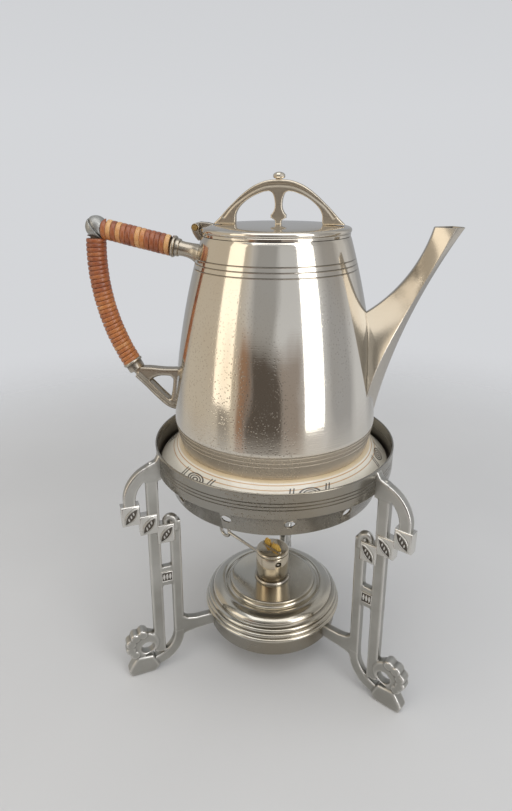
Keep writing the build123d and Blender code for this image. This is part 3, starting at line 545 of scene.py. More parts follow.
# Pot body
def side_radius(z):
    """Outside radius of the pot at a height on its long side."""
    chord = math.hypot(BELLY_R - MOUTH_R, MOUTH_Z - BELLY_Z)
    radius = (chord * chord / 4 + SIDE_BOW**2) / (2 * SIDE_BOW)
    centre_r = (BELLY_R + MOUTH_R) / 2 - (MOUTH_Z - BELLY_Z) / chord * (radius - SIDE_BOW)
    centre_z = (BELLY_Z + MOUTH_Z) / 2 - (BELLY_R - MOUTH_R) / chord * (radius - SIDE_BOW)
    return centre_r + math.sqrt(radius**2 - (z - centre_z) ** 2)


def wall_core(foot, heights, top):
    """Form just under the outside of the pot, which trims what is let into its wall."""
    side = [(side_radius(z) - 0.5, z) for z in heights]
    return lathe([(0, foot[1]), foot] + side + [(0, top)], 128)


def pot_body():
    """Shell with a flaring foot band, a soft kink and three incised lines at foot and mouth."""
    wall, line_gap, lines_below_mouth = 1.0, 2.7, 14.5
    foot = [(BASE_R + out, BASE_Z + up) for out, up in
            ((-1.0, 0.2), (-0.4, 0), (-0.05, 0.15), (0.12, 0.6), (0.36, 1.6))]
    foot += grooved((BASE_R + 0.75, BASE_Z + 3.4), (BELLY_R - 0.15, BELLY_Z - 0.4), 3, 2.8, 2.2)
    lines = [MOUTH_Z - lines_below_mouth + line_gap * i for i in (-1, 0, 1)]
    side = []
    z = BELLY_Z + 0.3
    while z < MOUTH_Z - 0.6:
        if all(abs(z - line) > 0.8 for line in lines):
            side.append((side_radius(z), z))
        z += 1.5
    for line in lines:
        for by, depth in ((-0.38, 0), (-0.26, 0.24), (-0.08, 0.4), (0.08, 0.4), (0.26, 0.24), (0.38, 0)):
            side.append((side_radius(line + by) - depth, line + by))
    outside = foot + sorted(side, key=lambda point: point[1])
    outside += [(MOUTH_R, MOUTH_Z - 0.5), (MOUTH_R - 0.15, MOUTH_Z - 0.12), (MOUTH_R - 0.5, MOUTH_Z)]
    inside = [(MOUTH_R - wall, MOUTH_Z - 0.3)]
    inside += [(side_radius(MOUTH_Z - 8 * i) - wall, MOUTH_Z - 8 * i) for i in range(1, 14)]
    inside += [(BELLY_R - wall, BELLY_Z), (BASE_R - wall, BASE_Z + 1)]
    return lathe(outside + inside, 192)


def pot_floor():
    """Disc let into the foot of the body, with a faint step near its edge."""
    z, r, step = BASE_Z + 1.0, BASE_R - 1.0, 0.35
    edge = [(r - 6, z), (r - 5.4, z - step), (r, z - step), (r, z + 1)]
    return lathe([(0, z)] + edge + [(0, z + 1)], 160)


# Spout, a folded sheet with a crease on each side
class Arc:
    """Arc in the handle-spout plane whose middle stands off its chord by a bulge."""

    def __init__(self, start, end, bulge):
        start, end = Vector(start), Vector(end)
        chord = end - start
        half = chord.length / 2
        out = Vector((chord.y, -chord.x)).normalized()
        self.radius = (half**2 + bulge**2) / (2 * bulge)
        self.centre = (start + end) / 2 - out * (self.radius - bulge)
        self.first = start - self.centre
        self.length = self.radius * 2 * math.asin(half / self.radius)

    def arm(self, s):
        return Matrix.Rotation(s / self.radius, 2) @ self.first

    def at(self, s):
        """Point at a distance along the arc."""
        x, z = self.centre + self.arm(s)
        return Vector((x, 0, z))

    def along(self, s):
        x, z = self.arm(s) / self.radius
        return Vector((-z, 0, x))


SPOUT_BACK = Arc((side_radius(245.0) - 8.0, 245.0), (86.0, 296.5), 7.0)
SPOUT_FRONT = Arc((BELLY_R - 1.8, 181.0), (102.0, 296.5), -6.0)
SPOUT_HALF = (23.0, 7.0)


def spout_ring(t, inset):
    """Corners of the kite-shaped section at a share of the way up, rounded at its folds."""
    origin = SPOUT_BACK.at(SPOUT_BACK.length * t)
    across = SPOUT_FRONT.at(SPOUT_FRONT.length * t**0.6) - origin
    length = across.length
    along = across.normalized()
    half = SPOUT_HALF[0] + (SPOUT_HALF[1] - SPOUT_HALF[0]) * t**0.7
    corners = [(inset, 2.2 - inset), (length * 0.66, half - 1.15 * inset)]
    corners += [(length - 1.6 * inset, 1.3 - 0.8 * inset)]
    corners += [(x, -y) for x, y in reversed(corners)]
    soft = []
    for i, corner in enumerate(corners):
        before, here, after = Vector(corners[i - 1]), Vector(corner), Vector(corners[(i + 1) % 6])
        reach = min(0.9, (before - here).length * 0.3, (after - here).length * 0.3)
        one = here + (before - here).normalized() * reach
        two = here + (after - here).normalized() * reach
        soft += [one * (1 - s) ** 2 + here * (2 * s * (1 - s)) + two * s * s for s in (0, 0.33, 0.67, 1)]
    return [origin + along * p.x + Vector((0, p.y, 0)) for p in soft]


def spout():
    sheet, stations = 0.9, [i / 40 for i in range(41)]
    outer = [spout_ring(t, 0.0) for t in stations]
    inner = [spout_ring(t, sheet) for t in stations]
    rim = [(p + q) * 0.5 + Vector((0, 0, 0.25)) for p, q in zip(outer[-1], inner[-1])]
    tube = loft(outer + [rim] + inner[::-1], closed=True)
    return cut(tube, wall_core((BASE_R - 0.5, BASE_Z), [BELLY_Z + 5 * i for i in range(22)], MOUTH_Z))


piece("pot_body_shell", pot_body(), "pot", BODY_PEWTER, ["pot_body"], 40)
piece("pot_floor_disc", pot_floor(), "pot", DULL_PEWTER, ["pot_base"])
piece("folded_spout", spout(), "pot", SPOUT_PEWTER, ["spout"], 14)


# Handle, with centre lines in the handle-spout plane
SOCKET_END, KNEE = Vector((-57.0, 0, 283.4)), Vector((-107.3, 0, 294.6))
LOWER_END = Vector((-90.4, 0, 208.8))
LOWER_BOW = 8.0
CANE_THICK = 1.5
UP_DIR = (KNEE - SOCKET_END).normalized()


class Straight:
    """Straight centre line between two points."""

    def __init__(self, start, end):
        self.start, self.end = start, end
        self.length = (end - start).length

    def at(self, s):
        return self.start + (self.end - self.start) * (s / self.length)

    def along(self, s):
        return (self.end - self.start).normalized()


UPPER_RUN = Straight(SOCKET_END, KNEE)
LOWER_RUN = Arc(KNEE.xz, LOWER_END.xz, LOWER_BOW)


def about(start, direction, shape):
    """Turned form whose axis is moved from Z to a direction through a point."""
    turn = direction.to_track_quat("Z", "Y").to_matrix().to_4x4()
    return shape.moved(Matrix.Translation(start) @ turn)


def cane_wrap(run, start, end, count, radius, width, tones):
    """Half-round cane wound round a run, every turn with its own tone, width and tilt."""
    steps = 40
    pitch = (end - start) / count
    right_half = [(0.0, 1.02), (0.30, 0.96), (0.45, 0.80), (0.5, 0.55), (0.5, 0.0)]
    section = other_half(right_half[1:]) + right_half
    jitter = [(rng.uniform(-0.12, 0.12), rng.uniform(-0.05, 0.12), rng.uniform(-0.15, 0.15))
              for _ in range(count + 2)]
    tone_of = [tones(k / count) + rng.uniform(-0.16, 0.16) for k in range(count + 2)]
    rings, tone, edge = [], [], []
    for i in range(count * steps + 1):
        k, share = divmod(i / steps, 1.0)
        k = int(k)
        shift, swell, tilt = ((1 - share) * a + share * b for a, b in zip(jitter[k], jitter[k + 1]))
        angle = math.tau * i / steps - math.pi * 0.5
        s = start + pitch * i / steps + shift + tilt * math.sin(angle)
        s = min(max(s, start), end)
        centre, along = run.at(s), run.along(s)
        out = Y_WAY * math.cos(angle) + along.cross(Y_WAY) * math.sin(angle)
        thick = CANE_THICK + swell
        taper = min(1.0, (i + 1) / 6, (count * steps + 1 - i) / 6)
        rings.append([centre + along * (x * width * taper) + out * (radius - CANE_THICK + h * thick)
                      for x, h in section])
        tone += [(1 - share) * tone_of[k] + share * tone_of[k + 1]] * len(section)
        # Mask for the painted shade on the flanks of each strand.
        edge += [abs(x) * 2 * (1.15 - h * 0.35) for x, h in section]
    return loft(rings), tone, edge


def knee():
    """Two rounded lobes with a groove along their mitre."""
    rise = (KNEE - LOWER_RUN.at(6.5)).normalized()
    across = (UP_DIR - rise).normalized()
    half_groove = 0.45
    crown = [(6.3 * r, 1.0 + 5.6 * z) for r, z in bow((0, 0), 1.0, 0, 84, 7)]
    cap = [(0, -6.5), (5.5, -6.5), (6.05, -6.0), (6.3, -5.0)] + crown + [(0, 6.6)]
    lobes = Shape()
    for toward, side in ((UP_DIR, -1), (rise, 1)):
        work = bmesh.new()
        work.from_mesh(mesh_of(about(KNEE, toward, lathe(cap, 48))))
        normal = across * side
        everything = work.verts[:] + work.edges[:] + work.faces[:]
        sliced = bmesh.ops.bisect_plane(work, geom=everything, plane_co=KNEE - normal * half_groove,
                                        plane_no=normal, clear_outer=True)
        rim = [e for e in sliced["geom_cut"] if isinstance(e, bmesh.types.BMEdge)]
        bmesh.ops.contextual_create(work, geom=rim)
        half = bpy.data.meshes.new("lobe")
        work.to_mesh(half)
        work.free()
        lobes.add(blended(shape_of(half), 0.4, 6))
    core = lathe([(0, -1.2), (5.2, -1.2), (5.2, 1.2), (0, 1.2)], 40)
    return lobes.add(about(KNEE, across, core))


def bead_collar(place, along, radius, length, bead):
    """Short collar with a rounded bead at the cane's side."""
    edge = [(0, 0), (radius - 0.5, 0), (radius - 0.1, 0.25), (radius, 0.8), (radius, length - bead * 2)]
    roll = bow((radius, length - bead), bead, -90, 90, 8)
    return about(place, along, lathe(edge + roll + [(0, length)], 64))


def upper_socket():
    """Socket that flares on to the body, deeper below than above."""
    # distance along X, half width, height above and depth below the centre line
    stations = [(-42.5, 7.6, 5.6, 11.0), (-45.2, 6.6, 5.0, 8.9), (-46.6, 5.9, 4.8, 7.4),
                (-48.4, 5.0, 4.6, 5.9), (-50.6, 4.5, 4.45, 4.9), (-53.4, 4.3, 4.3, 4.4),
                (-57.5, 4.5, 4.5, 4.5)]
    oval = bow((0, 0), 1.0, 0, 360, 48)[:-1]
    rings = []
    for x, half, over, under in stations:
        middle = SOCKET_END + UP_DIR * ((x - SOCKET_END.x) / UP_DIR.x)
        rings.append([Vector((x, half * y, middle.z + z * (over if z > 0 else under))) for y, z in oval])
    runs = [through(run, 4) for run in zip(*rings)]
    flare = loft([list(ring) for ring in zip(*runs)])
    core = wall_core((side_radius(262) - 0.5, 262), range(264, 291, 2), 290)
    return cut(flare, core).add(bead_collar(SOCKET_END - UP_DIR * 0.3, UP_DIR, 5.2, 4.8, 1.15))


def lower_bracket():
    """Openwork bracket: a top bar, an upright on the wall and a ridged diagonal."""
    outer = through([(-86.5, 209.3), (-80.0, 209.4), (-70.0, 209.0), (-58.5, 209.6)], 4)
    outer += [(-52.0, 209.6), (-54.0, 180.0)]
    outer += through([(-60.5, 180.0), (-66.0, 182.4), (-72.0, 187.2), (-80.0, 194.6), (-88.0, 202.6),
                      (-93.6, 208.0)], 4)
    hole = through([(-81.0, 199.6), (-77.6, 202.4), (-73.0, 204.0), (-66.8, 204.2)], 4)
    hole += through([(-64.9, 202.4), (-65.4, 198.0), (-66.4, 192.6), (-67.4, 188.9)], 4)
    hole += through([(-69.6, 188.4), (-72.6, 190.9), (-76.6, 195.2)], 4)
    web = plate(outer, 7.0, 1.5, 4, hole)
    ridge = through([(-88.6, 204.6), (-82.0, 198.4), (-75.0, 191.2), (-68.2, 185.4), (-61.4, 183.2)], 6)
    for side in (-3.3, 3.3):
        for shift in (-1.1, 1.1):
            web.add(wire([Vector((x + shift, side, z + shift)) for x, z in ridge], 0.75, 8))
    bracket = cut(blended(web, 0.4, 3), wall_core((58, 170), range(182, 216, 3), 215))
    end = LOWER_RUN.at(LOWER_RUN.length)
    back = (LOWER_RUN.at(LOWER_RUN.length - 4.5) - end).normalized()
    return bracket.add(bead_collar(end - back * 2.2, back, 5.3, 6.7, 1.1))


def wire(path, radius, sides=16, closed=False):
    """Round wire along a path, with its ends capped."""
    rings = []
    count = len(path)
    for i, point in enumerate(path):
        before = path[i - 1] if (i or closed) else point
        after = path[(i + 1) % count] if (i < count - 1 or closed) else point
        along = (after - before).normalized()
        side = along.cross(Y_WAY)
        if side.length < 0.2:
            side = along.cross(Vector((0.3, 0.2, 1)))
        side.normalize()
        up = side.cross(along)
        size = radius(i / (count - 1)) if callable(radius) else radius
        rings.append([point + (side * math.cos(a) + up * math.sin(a)) * size for a in turns(sides)])
    return loft(rings, closed=closed)


def upper_tone(share):
    """Red brown, with a few pale turns near the knee, in the middle and at the collar."""
    pale = min(abs(share - place) for place in (0.07, 0.43, 0.50, 0.79, 0.93))
    return 0.92 if pale < 0.036 else 0.32


def lower_tone(share):
    """Red brown at the knee to orange tan at the bracket."""
    return 0.34 + 0.36 * share


upper_wrap = cane_wrap(UPPER_RUN, 4.6, UPPER_RUN.length - 5.2, 14, 6.0, 3.2, upper_tone)
lower_wrap = cane_wrap(LOWER_RUN, 5.6, LOWER_RUN.length - 4.4, 30, 5.95, 2.72, lower_tone)
for part_name, (wrap, tone, edge) in (("upper_cane_wrap", upper_wrap), ("lower_cane_wrap", lower_wrap)):
    piece(part_name, wrap, "pot", CANE, ["cane_wraps"], 60, {"cane_tone": tone, "cane_flank_shade": edge})
piece("knee_lobes", knee(), "pot", LEAD, ["handle_knee"], 50)
piece("flared_socket", upper_socket(), "pot", DULL_PEWTER, ["upper_socket"], 50)
piece("openwork_bracket", lower_bracket(), "pot", DULL_PEWTER, ["lower_bracket"], 50)


# Lid
LID_Z = MOUTH_Z + 0.2
LID_TOP = LID_Z + 5.8
LID_R = 42.4
ARCH_SHIFT, ARCH_HEIGHT = 1.3, 23.8


def lid_cap():
    """Cover with a rolled rim and a low dome."""
    rim = [(39.9, LID_Z), (LID_R - 0.6, LID_Z), (LID_R - 0.5, LID_Z + 1.2)]
    rim += bow((LID_R - 1.5, LID_Z + 2.9), 1.5, -60, 75, 10)
    dome = [(39.6, 4.6), (37.5, 5.0), (30, 5.4), (20, 5.65), (10, 5.77), (0, 5.8)]
    under = [(0, 4.8), (20, 4.7), (36, 4.1), (39.9, 3.6)]
    return lathe(rim + [(r, LID_Z + up) for r, up in dome + under], 192)


def lid_collar():
    """Ring under the lid, with a rolled lower edge."""
    top, low, inner, outer = LID_Z + 3.8, MOUTH_Z - 5.0, 39.0, 39.9
    edge = [(outer, low + 0.6), (outer - 0.25, low + 0.1), (inner + 0.25, low), (inner, low + 0.5)]
    return lathe([(inner, top), (outer, top)] + edge, 160)


def arch_grip():
    """Arch with a tulip-shaped strut, pointed feet and a fluted face, grown together as a casting."""
    thick, flute_r, flute_y = 5.5, 2.0, 4.45
    side = [(37.3, 0.1), (33.5, 3.6), (28.5, 8.8)]
    side += through([(22.3, 14.5), (17.6, 18.2), (12.4, 21.2), (6.4, 23.2), (0, ARCH_HEIGHT)], 5)
    hole = through([(24.9, -1.5), (24.4, 2.4), (24.2, 5.6), (22.2, 9.2), (18.2, 12.8), (13.6, 15.4),
                    (8.6, 17.3)], 4)
    hole += through([(5.4, 17.7), (3.6, 16.9), (2.6, 15.0), (2.1, 12.6), (1.9, 10.4), (2.2, 8.4), (3.1, 6.5),
                     (4.0, 5.4), (4.2, 4.4), (3.3, 3.3), (1.9, 2.5), (1.6, 1.2), (2.4, -1.5)], 4)
    shape = plate(side[:-1] + other_half(side), thick, 0.9, 4)
    for opening in (hole, other_half(hole)):
        shape = cut(shape, loft([upright(opening, y) for y in (-6, 6)]))
    ridge = through([(31.4, 3.6), (26.2, 9.6), (20.4, 14.0), (14.0, 17.9), (7.4, 20.3), (0, 21.0)], 5)
    for y in (-flute_y, flute_y):
        shape = cut(shape, wire(upright(ridge[:-1] + other_half(ridge), y), flute_r, 20))
    shape = blended(shape, 0.28, 4)
    for z in (3.9, 5.1):
        shape.add(plate(box_loop((-4.3, z - 0.2), (4.3, z + 0.2)), thick, 0.19, 1))
    return shape.moved(Matrix.Translation((ARCH_SHIFT, 0, LID_TOP - 0.5)))


def button():
    """Squat button with a faceted edge, riveted on the crown."""
    profile = [(0, -1), (1.6, -1), (1.8, 0.5), (3.0, 0.8), (3.4, 1.5), (3.3, 2.5), (2.6, 3.3), (1.4, 3.8)]
    seat = Matrix.Translation((ARCH_SHIFT, 0, LID_TOP + ARCH_HEIGHT - 0.8))
    return lathe(profile + [(0, 4.0)], 10).moved(seat)


HINGE_X, HINGE_Z = -45.1, 295.5
KNUCKLE_R = 2.3
HINGE_BORE = bow((HINGE_X, HINGE_Z), 1.55, 0, 360, 20)[:-1]


def body_hinge():
    """Two knuckles whose webs run down on to the wall of the pot."""
    web = bow((HINGE_X, HINGE_Z), KNUCKLE_R, 195, -5, 16)
    web += [(-42.9, 292.2), (-41.7, 291.2), (-41.9, 288.6), (-43.6, 288.4), (-45.2, 290.2), (-46.6, 292.6)]
    knuckle = plate(web, 4.6, 0.45, 3, HINGE_BORE)
    both = Shape()
    for y in (-5.65, 5.65):
        both.add(knuckle.moved(Matrix.Translation((0, y, 0))))
    return both


def lid_hinge():
    """Middle knuckle with a strap that thins out on the lid."""
    strap = bow((HINGE_X, HINGE_Z), KNUCKLE_R, 300, 90, 16)
    strap += [(-42.6, 298.0), (-39.6, 297.8), (-36.2, 297.1), (-35.4, 296.6), (-36.4, 295.8), (-41.0, 295.9)]
    return plate(strap, 5.8, 0.4, 3, HINGE_BORE)


piece("lid_cap", lid_cap(), "lid", PEWTER, ["lid_cover"], 35)
piece("lid_collar", lid_collar(), "lid", DULL_PEWTER, ["lid_skirt"])
piece("arch_grip", arch_grip(), "lid", GRIP_PEWTER, ["lid_arch"], 50)
piece("arch_button", button(), "lid", PEWTER, ["lid_button"], 20)
piece("hinge_webs", body_hinge(), "pot", DULL_PEWTER, ["body_leaf"])
piece("hinge_strap", lid_hinge(), "lid", DULL_PEWTER, ["lid_leaf"])


# Stand
TRAY_R, TRAY_RIM, LEDGE = 76.0, 167.5, 152.7
HOOP_R, HOOP_LOW, HOOP_TOP = 45.6, 25.0, 37.0


def tray():
    """Gallery with a rolled rim, three incised lines, a ledge and a pierced skirt."""
    wall, floor_r, ledge_r = 1.2, 64.6, 70.6
    vents, vent_z, vent_half, vent_rise = 12, 144.0, 3.3, 2.6
    foot_r, foot_z, slope = 67.0, 136.0, 0.287
    outline = bow((TRAY_R - 0.55, TRAY_RIM - 0.55), 0.55, 170, 0, 6)
    outline += grooved((TRAY_R, TRAY_RIM - 0.8), (TRAY_R, LEDGE - 0.4), 3, 2.1)
    outline += bow((TRAY_R - 0.8, LEDGE - 0.4), 0.8, 0, -90, 4)
    outline += [(71.9, LEDGE - 1.2), (71.3, LEDGE - 1.7), (foot_r, foot_z), (66.7, 135.5), (floor_r, 135.5)]
    outline += [(64.8, 136.1), (66.1, 136.4), (70.3, LEDGE - 0.4), (ledge_r, LEDGE)]
    outline += [(TRAY_R - wall, LEDGE), (TRAY_R - wall, TRAY_RIM - 1.2)]
    holes, lips = Shape(), Shape()
    for i in range(vents):
        azimuth = 360 / vents * (i + 0.5)
        rings = [[Vector((r, vent_half * math.cos(a), vent_z + vent_rise * math.sin(a))) for a in turns(28)]
                 for r in (62, 76)]
        holes.add(loft(rings).turned_by(azimuth))
        lip = []
        for a in turns(28):
            y, z = (vent_half + 0.1) * math.cos(a), vent_z + (vent_rise + 0.1) * math.sin(a)
            skirt = foot_r + (z - foot_z) * slope
            lip.append(Vector((math.sqrt(skirt**2 - y**2) - 0.1, y, z)))
        lips.add(wire(lip, 0.32, 10, closed=True).turned_by(azimuth))
    return cut(lathe(outline, 240), holes).add(lips)


def ceramic():
    """Sloping ring with a rounded rim on the ledge and a rounded inner edge."""
    outline = bow((71.7, 154.3), 1.5, -80, 60, 8)
    outline += [(69.9, 157.9), (66.8, 161.0), (63.9, 163.6), (62.0, 165.2), (60.8, 166.1)]
    outline += [(59.6, BASE_Z), (50.5, BASE_Z)] + bow((48.4, 165.1), 1.4, 90, 270, 8)
    outline += [(58.6, 163.6), (61.0, 160.6), (66.0, 155.8), (68.6, 152.8), (70.4, LEDGE)]
    return lathe(outline, 192)


def cast_core():
    """Posts, arch, curl, panel, sweep, scroll and arm, grown together."""
    bar = 5.2
    core = Shape()
    core.add(plate([(77.6, 150.0), (85.2, 150.0), (88.4, 15.0), (80.9, 14.0)], bar, 0.8))
    core.add(plate([(65.2, 118.5), (72.0, 118.5), (73.8, 27.0), (67.0, 27.0)], bar, 0.8))
    arch = (75.0, 137.1)
    band = bow(arch, 24.5, 0, 90, 24) + [(75.0, 161.6), (74.0, 161.6), (74.0, 149.5), (86.0, 149.5)]
    band += bow(arch, 17.0, 48, 0, 12) + [(92.0, 128.0), (99.5, 128.0)]
    core.add(plate(band, 5.4, 0.9))
    shoulder = [(74.4, 155.0), (86.5, 155.0), (83.5, 160.4), (78.2, 162.6), (76.4, 166.0), (74.6, 166.8)]
    core.add(plate(shoulder, 5.6, 0.9))
    curl = [(68.6, 112.0), (68.6, 117.0), (69.6, 120.2), (72.4, 121.2), (74.6, 119.2), (74.2, 116.4)]
    core.add(wire(upright(through(curl, 6)), lambda s: 3.2 - 1.5 * s, 16))
    core.add(about(Vector((73.4, 0, 115.6)), Y_WAY, ball(1.9)))
    core.add(plate(box_loop((70.0, 69.5), (83.0, 84.5)), 4.6, 0.6))
    sweep = through([(67.0, 30.0), (67.6, 22.5), (70.6, 15.0), (75.8, 8.8), (82.4, 4.9), (90.0, 3.2)], 5)
    sweep += through([(92.6, 10.6), (86.4, 11.6), (80.8, 14.6), (76.6, 19.4), (74.4, 24.6), (73.8, 30.0)], 5)
    core.add(plate(sweep, 5.6, 0.9))
    scroll = Vector((95.5, 24.5))
    core.add(plate(bow(scroll, 10.4, 215, -80, 30), 6.4, 1.2, 3, bow((93.2, 21.6), 4.4, 0, 360, 23)[:-1]))
    tooth = [(0, -3.9), (2.6, -3.9), (3.3, -3.2), (3.4, 0), (3.3, 3.2), (2.6, 3.9), (0, 3.9)]
    for r, z in bow(scroll, 9.3, 88, -44, 4):
        core.add(about(Vector((r, 0, z)), Y_WAY, lathe(tooth, 20)))
    core.add(about(Vector((92.8, 0, 28.6)), Y_WAY, ball(2.3)))
    toe = [(86.0, 4.0), (89.5, 0.05), (106.0, 0.05), (107.6, 5.0), (105.0, 9.6), (101.0, 15.0), (90.0, 14.0)]
    core.add(plate(toe, 8.0, 1.3, 3))
    arm = [(44.2, 27.4), (44.2, 36.4), (58.0, 36.6), (64.0, 38.0), (68.0, 41.5), (69.0, 24.0), (65.0, 25.6),
           (58.0, 26.6)]
    core.add(plate(arm, bar, 0.8))
    grown = blended(core, 0.55, 2)
    grown.points = [Vector((p.x, p.y, max(p.z, 0.0))) for p in grown.points]
    inside_tray = lathe([(0, 130), (TRAY_R - 0.4, 130), (TRAY_R - 0.4, 170), (0, 170)], 96)
    inside_hoop = lathe([(0, 20), (HOOP_R - 1, 20), (HOOP_R - 1, 45), (0, 45)], 96)
    return cut(grown, inside_tray, inside_hoop)


SQUARES = [(95.8 - 10.4 * i, 128.3 - 8.8 * i) for i in range(3)]
PANEL = (76.4, 77.0)
LEAF_SLANT = 128.0


def framed(centre, half_r, half_z):
    return box_loop((centre[0] - half_r, centre[1] - half_z), (centre[0] + half_r, centre[1] + half_z))


def lens(centre, half, width, slant=LEAF_SLANT, count=10):
    """Pointed oval about a centre, with its long axis at a slant."""
    tilt = Matrix.Rotation(math.radians(slant), 2)
    shares = [2 * i / count - 1 for i in range(count + 1)]
    top = [Vector((half * share, width * (1 - share**2))) for share in shares]
    under = [-p for p in top[1:-1]]
    return [tuple(tilt @ p + Vector(centre)) for p in top + under]


def leg_details():
    """Crisp parts over the cast core: blocks, leaf outlines with three seeds, and the framed panel."""
    made = Shape()
    slant = math.radians(LEAF_SLANT)
    for r, z in SQUARES:
        made.add(plate(framed((r, z), 5.7, 6.9), 7.0, 1.1, 3))
        made.add(plate(lens((r, z), 7.3, 3.1), 8.6, 0.35, 3, lens((r, z), 5.8, 2.1)))
        for along in (-2.4, 0.0, 2.4):
            seed = (r + along * math.cos(slant), z + along * math.sin(slant))
            made.add(plate(lens(seed, 1.5, 0.55, 80, 6), 8.2, 0.2, 2))
    made.add(plate(framed(PANEL, 3.8, 3.9), 6.2, 0.3, 2, framed(PANEL, 3.1, 3.2)))
    for shift in (-2.0, 0.0, 2.0):
        made.add(plate(lens((PANEL[0] + shift, PANEL[1]), 2.7, 0.85, 90, 4), 6.0, 0.2, 1))
    return made


def leg_recesses():
    """Near-black sheets inside the leaf outlines and the panel's frame, painted shade in the recesses."""
    made = Shape()
    for place in SQUARES:
        made.add(plate(lens(place, 6.2, 2.4), 7.5, 0.1, 1))
    return made.add(plate(framed(PANEL, 3.4, 3.5), 5.3, 0.1, 1))


def hoop():
    """Flat ring with eased edges that carries the burner."""
    outside = [(0.5, HOOP_LOW), (0.1, HOOP_LOW + 0.3), (0, HOOP_LOW + 0.8)]
    outside += [(0, HOOP_TOP - 0.8), (0.1, HOOP_TOP - 0.3), (0.5, HOOP_TOP)]
    inside = [(1.6, HOOP_TOP), (2.0, HOOP_TOP - 0.4), (2.0, HOOP_LOW + 0.4), (1.6, HOOP_LOW)]
    return lathe([(HOOP_R - inset, z) for inset, z in outside + inside], 160)


piece("tray_gallery_wall", tray(), "stand", TRAY_PEWTER, ["tray_gallery"], 35)
piece("glazed_ring", ceramic(), "plate", CERAMIC, ["ceramic_ring"], 40)
piece("arm_hoop", hoop(), "stand", DARK_PEWTER, ["burner_hoop"])
core_shape, detail_shape, recess_shape = cast_core(), leg_details(), leg_recesses()
for node, azimuth in LEG_AZIMUTHS.items():
    side = node.split("_")[1]
    piece("cast_leg_" + side, core_shape.turned_by(azimuth), "stand", CAST, [node], 60)
    piece("leaf_squares_" + side, detail_shape.turned_by(azimuth), "stand", CAST, [node], 35)
    # Near-black sheets in the recesses as painted shade.
    piece("dark_grounds_" + side, recess_shape.turned_by(azimuth), "stand", RECESS, [node], 35)


# Burner
NECK_R = 11.5
SHAFT = Vector((0, 4.5, 71.5))
WICK_TOP = 79.4


def tank_top():
    """Cover with three beads, a swelling shoulder, a step and a raised disc."""
    outline = [(41.0, 37.0), (46.6, 37.0)]
    for r, z in ((46.7, 38.5), (45.7, 41.6), (44.3, 44.7)):
        outline += bow((r, z), 1.55, -62, 62, 7) + [(r + 0.1, z + 1.56)]
    outline.append((43.0, 46.7))
    outline += through([(42.7, 47.1), (42.6, 48.4), (41.7, 49.9), (39.4, 51.4), (36.6, 52.1), (34.4, 51.9),
                        (32.8, 51.3)], 5)
    outline += through([(32.2, 51.1), (30.8, 51.3), (30.0, 52.4), (29.8, 53.8)], 4)
    outline += bow((29.2, 54.2), 0.8, 0, 90, 5) + [(28.2, 54.95), (27.2, 54.75), (11.2, 54.7)]
    outline += [(11.2, 53.8), (28.0, 53.8), (29.0, 50.4), (34.0, 50.6), (40.0, 49.6), (41.0, 46.0)]
    return lathe(outline, 192)


def tank_bottom():
    """Round bowl on a shallow foot."""
    outline = [(0, 21.9), (30.0, 21.9), (30.6, 21.5), (34.5, 21.5)]
    outline += through([(36.5, 21.7), (40.0, 22.9), (42.4, 25.0), (43.2, 28.0), (43.3, 32.0)], 4)
    outline += [(43.3, 37.0), (42.4, 37.0), (42.3, 28.2), (40.0, 24.2), (36.0, 22.6), (0, 22.8)]
    return lathe(outline, 160)


def neck_foot():
    return lathe([(10.9, 54.9), (12.7, 54.9), (12.7, 55.4), (12.4, 56.0), (12.0, 56.4), (10.9, 56.4)], 96)


def on_wick(shape):
    """Turn a shape drawn with the wick's width along X to the wick's azimuth."""
    return shape.moved(Matrix.Rotation(WICK_AZIMUTH, 4, "Z"))


def slot_form(width, thickness, low_z, high_z):
    """Upright form with round-ended section."""
    r = thickness / 2
    ends = bow((width / 2 - r, 0), r, -90, 90, 8) + bow((-width / 2 + r, 0), r, 90, 270, 8)
    return loft([[Vector((x, y, z)) for x, y in ends] for z in (low_z, high_z)])


def neck():
    """Sleeve with a rounded shoulder, a slot for the wick tube and a hole where the shaft's end shows."""
    outline = [(10.8, 51.4), (10.8, 56.8), (11.2, 56.8), (NECK_R, 57.2), (NECK_R, 75.2), (11.3, 75.5)]
    outline += [(11.3, 75.8), (NECK_R, 76.1)] + bow((9.9, 76.9), 1.6, 5, 80, 8)
    outline += [(9.4, 78.6), (0, 78.6), (0, 77.7), (9.6, 77.7), (9.6, 51.4)]
    slot = slot_form(18.3, 3.9, 70.0, 82.0)
    bore = about(SHAFT, X_WAY, lathe([(0, -14), (2.0, -14), (2.0, 14), (0, 14)], 32))
    return cut(lathe(outline, 128), on_wick(slot), on_wick(bore))


def wick_tube():
    outer, inner = slot_form(18.1, 3.7, 46.0, 79.5), slot_form(16.9, 2.5, 45.0, 81.0)
    return on_wick(cut(outer, inner))


def thumb_shaft():
    """Rod with a small rounded end, two star wheels and a ring to turn it by."""
    rod = [(0, -11.0), (0.7, -11.0), (1.05, -10.7), (1.15, -10.2), (1.15, -8.0), (1.0, -7.6), (1.0, 7.8)]
    rod += [(1.5, 8.0), (1.5, 11.0), (1.2, 11.4), (1.1, 20.0), (1.1, 41.0), (1.5, 41.6), (1.5, 42.6)]
    shape = about(SHAFT, X_WAY, lathe(rod + [(0, 42.8)], 32))
    ring = bow((47.2, SHAFT.z), 4.8, 0, 360, 48)[:-1]
    shape.add(wire(upright(ring, SHAFT.y), 1.3, 16, closed=True))
    teeth = list(zip([3.35, 2.9] * 12, turns(24)))
    for x in (-4.5, 4.5):
        shape.add(loft([[SHAFT + Vector((x + t, r * math.cos(a), r * math.sin(a))) for r, a in teeth]
                        for t in (-0.8, 0.8)]))
    return on_wick(shape)


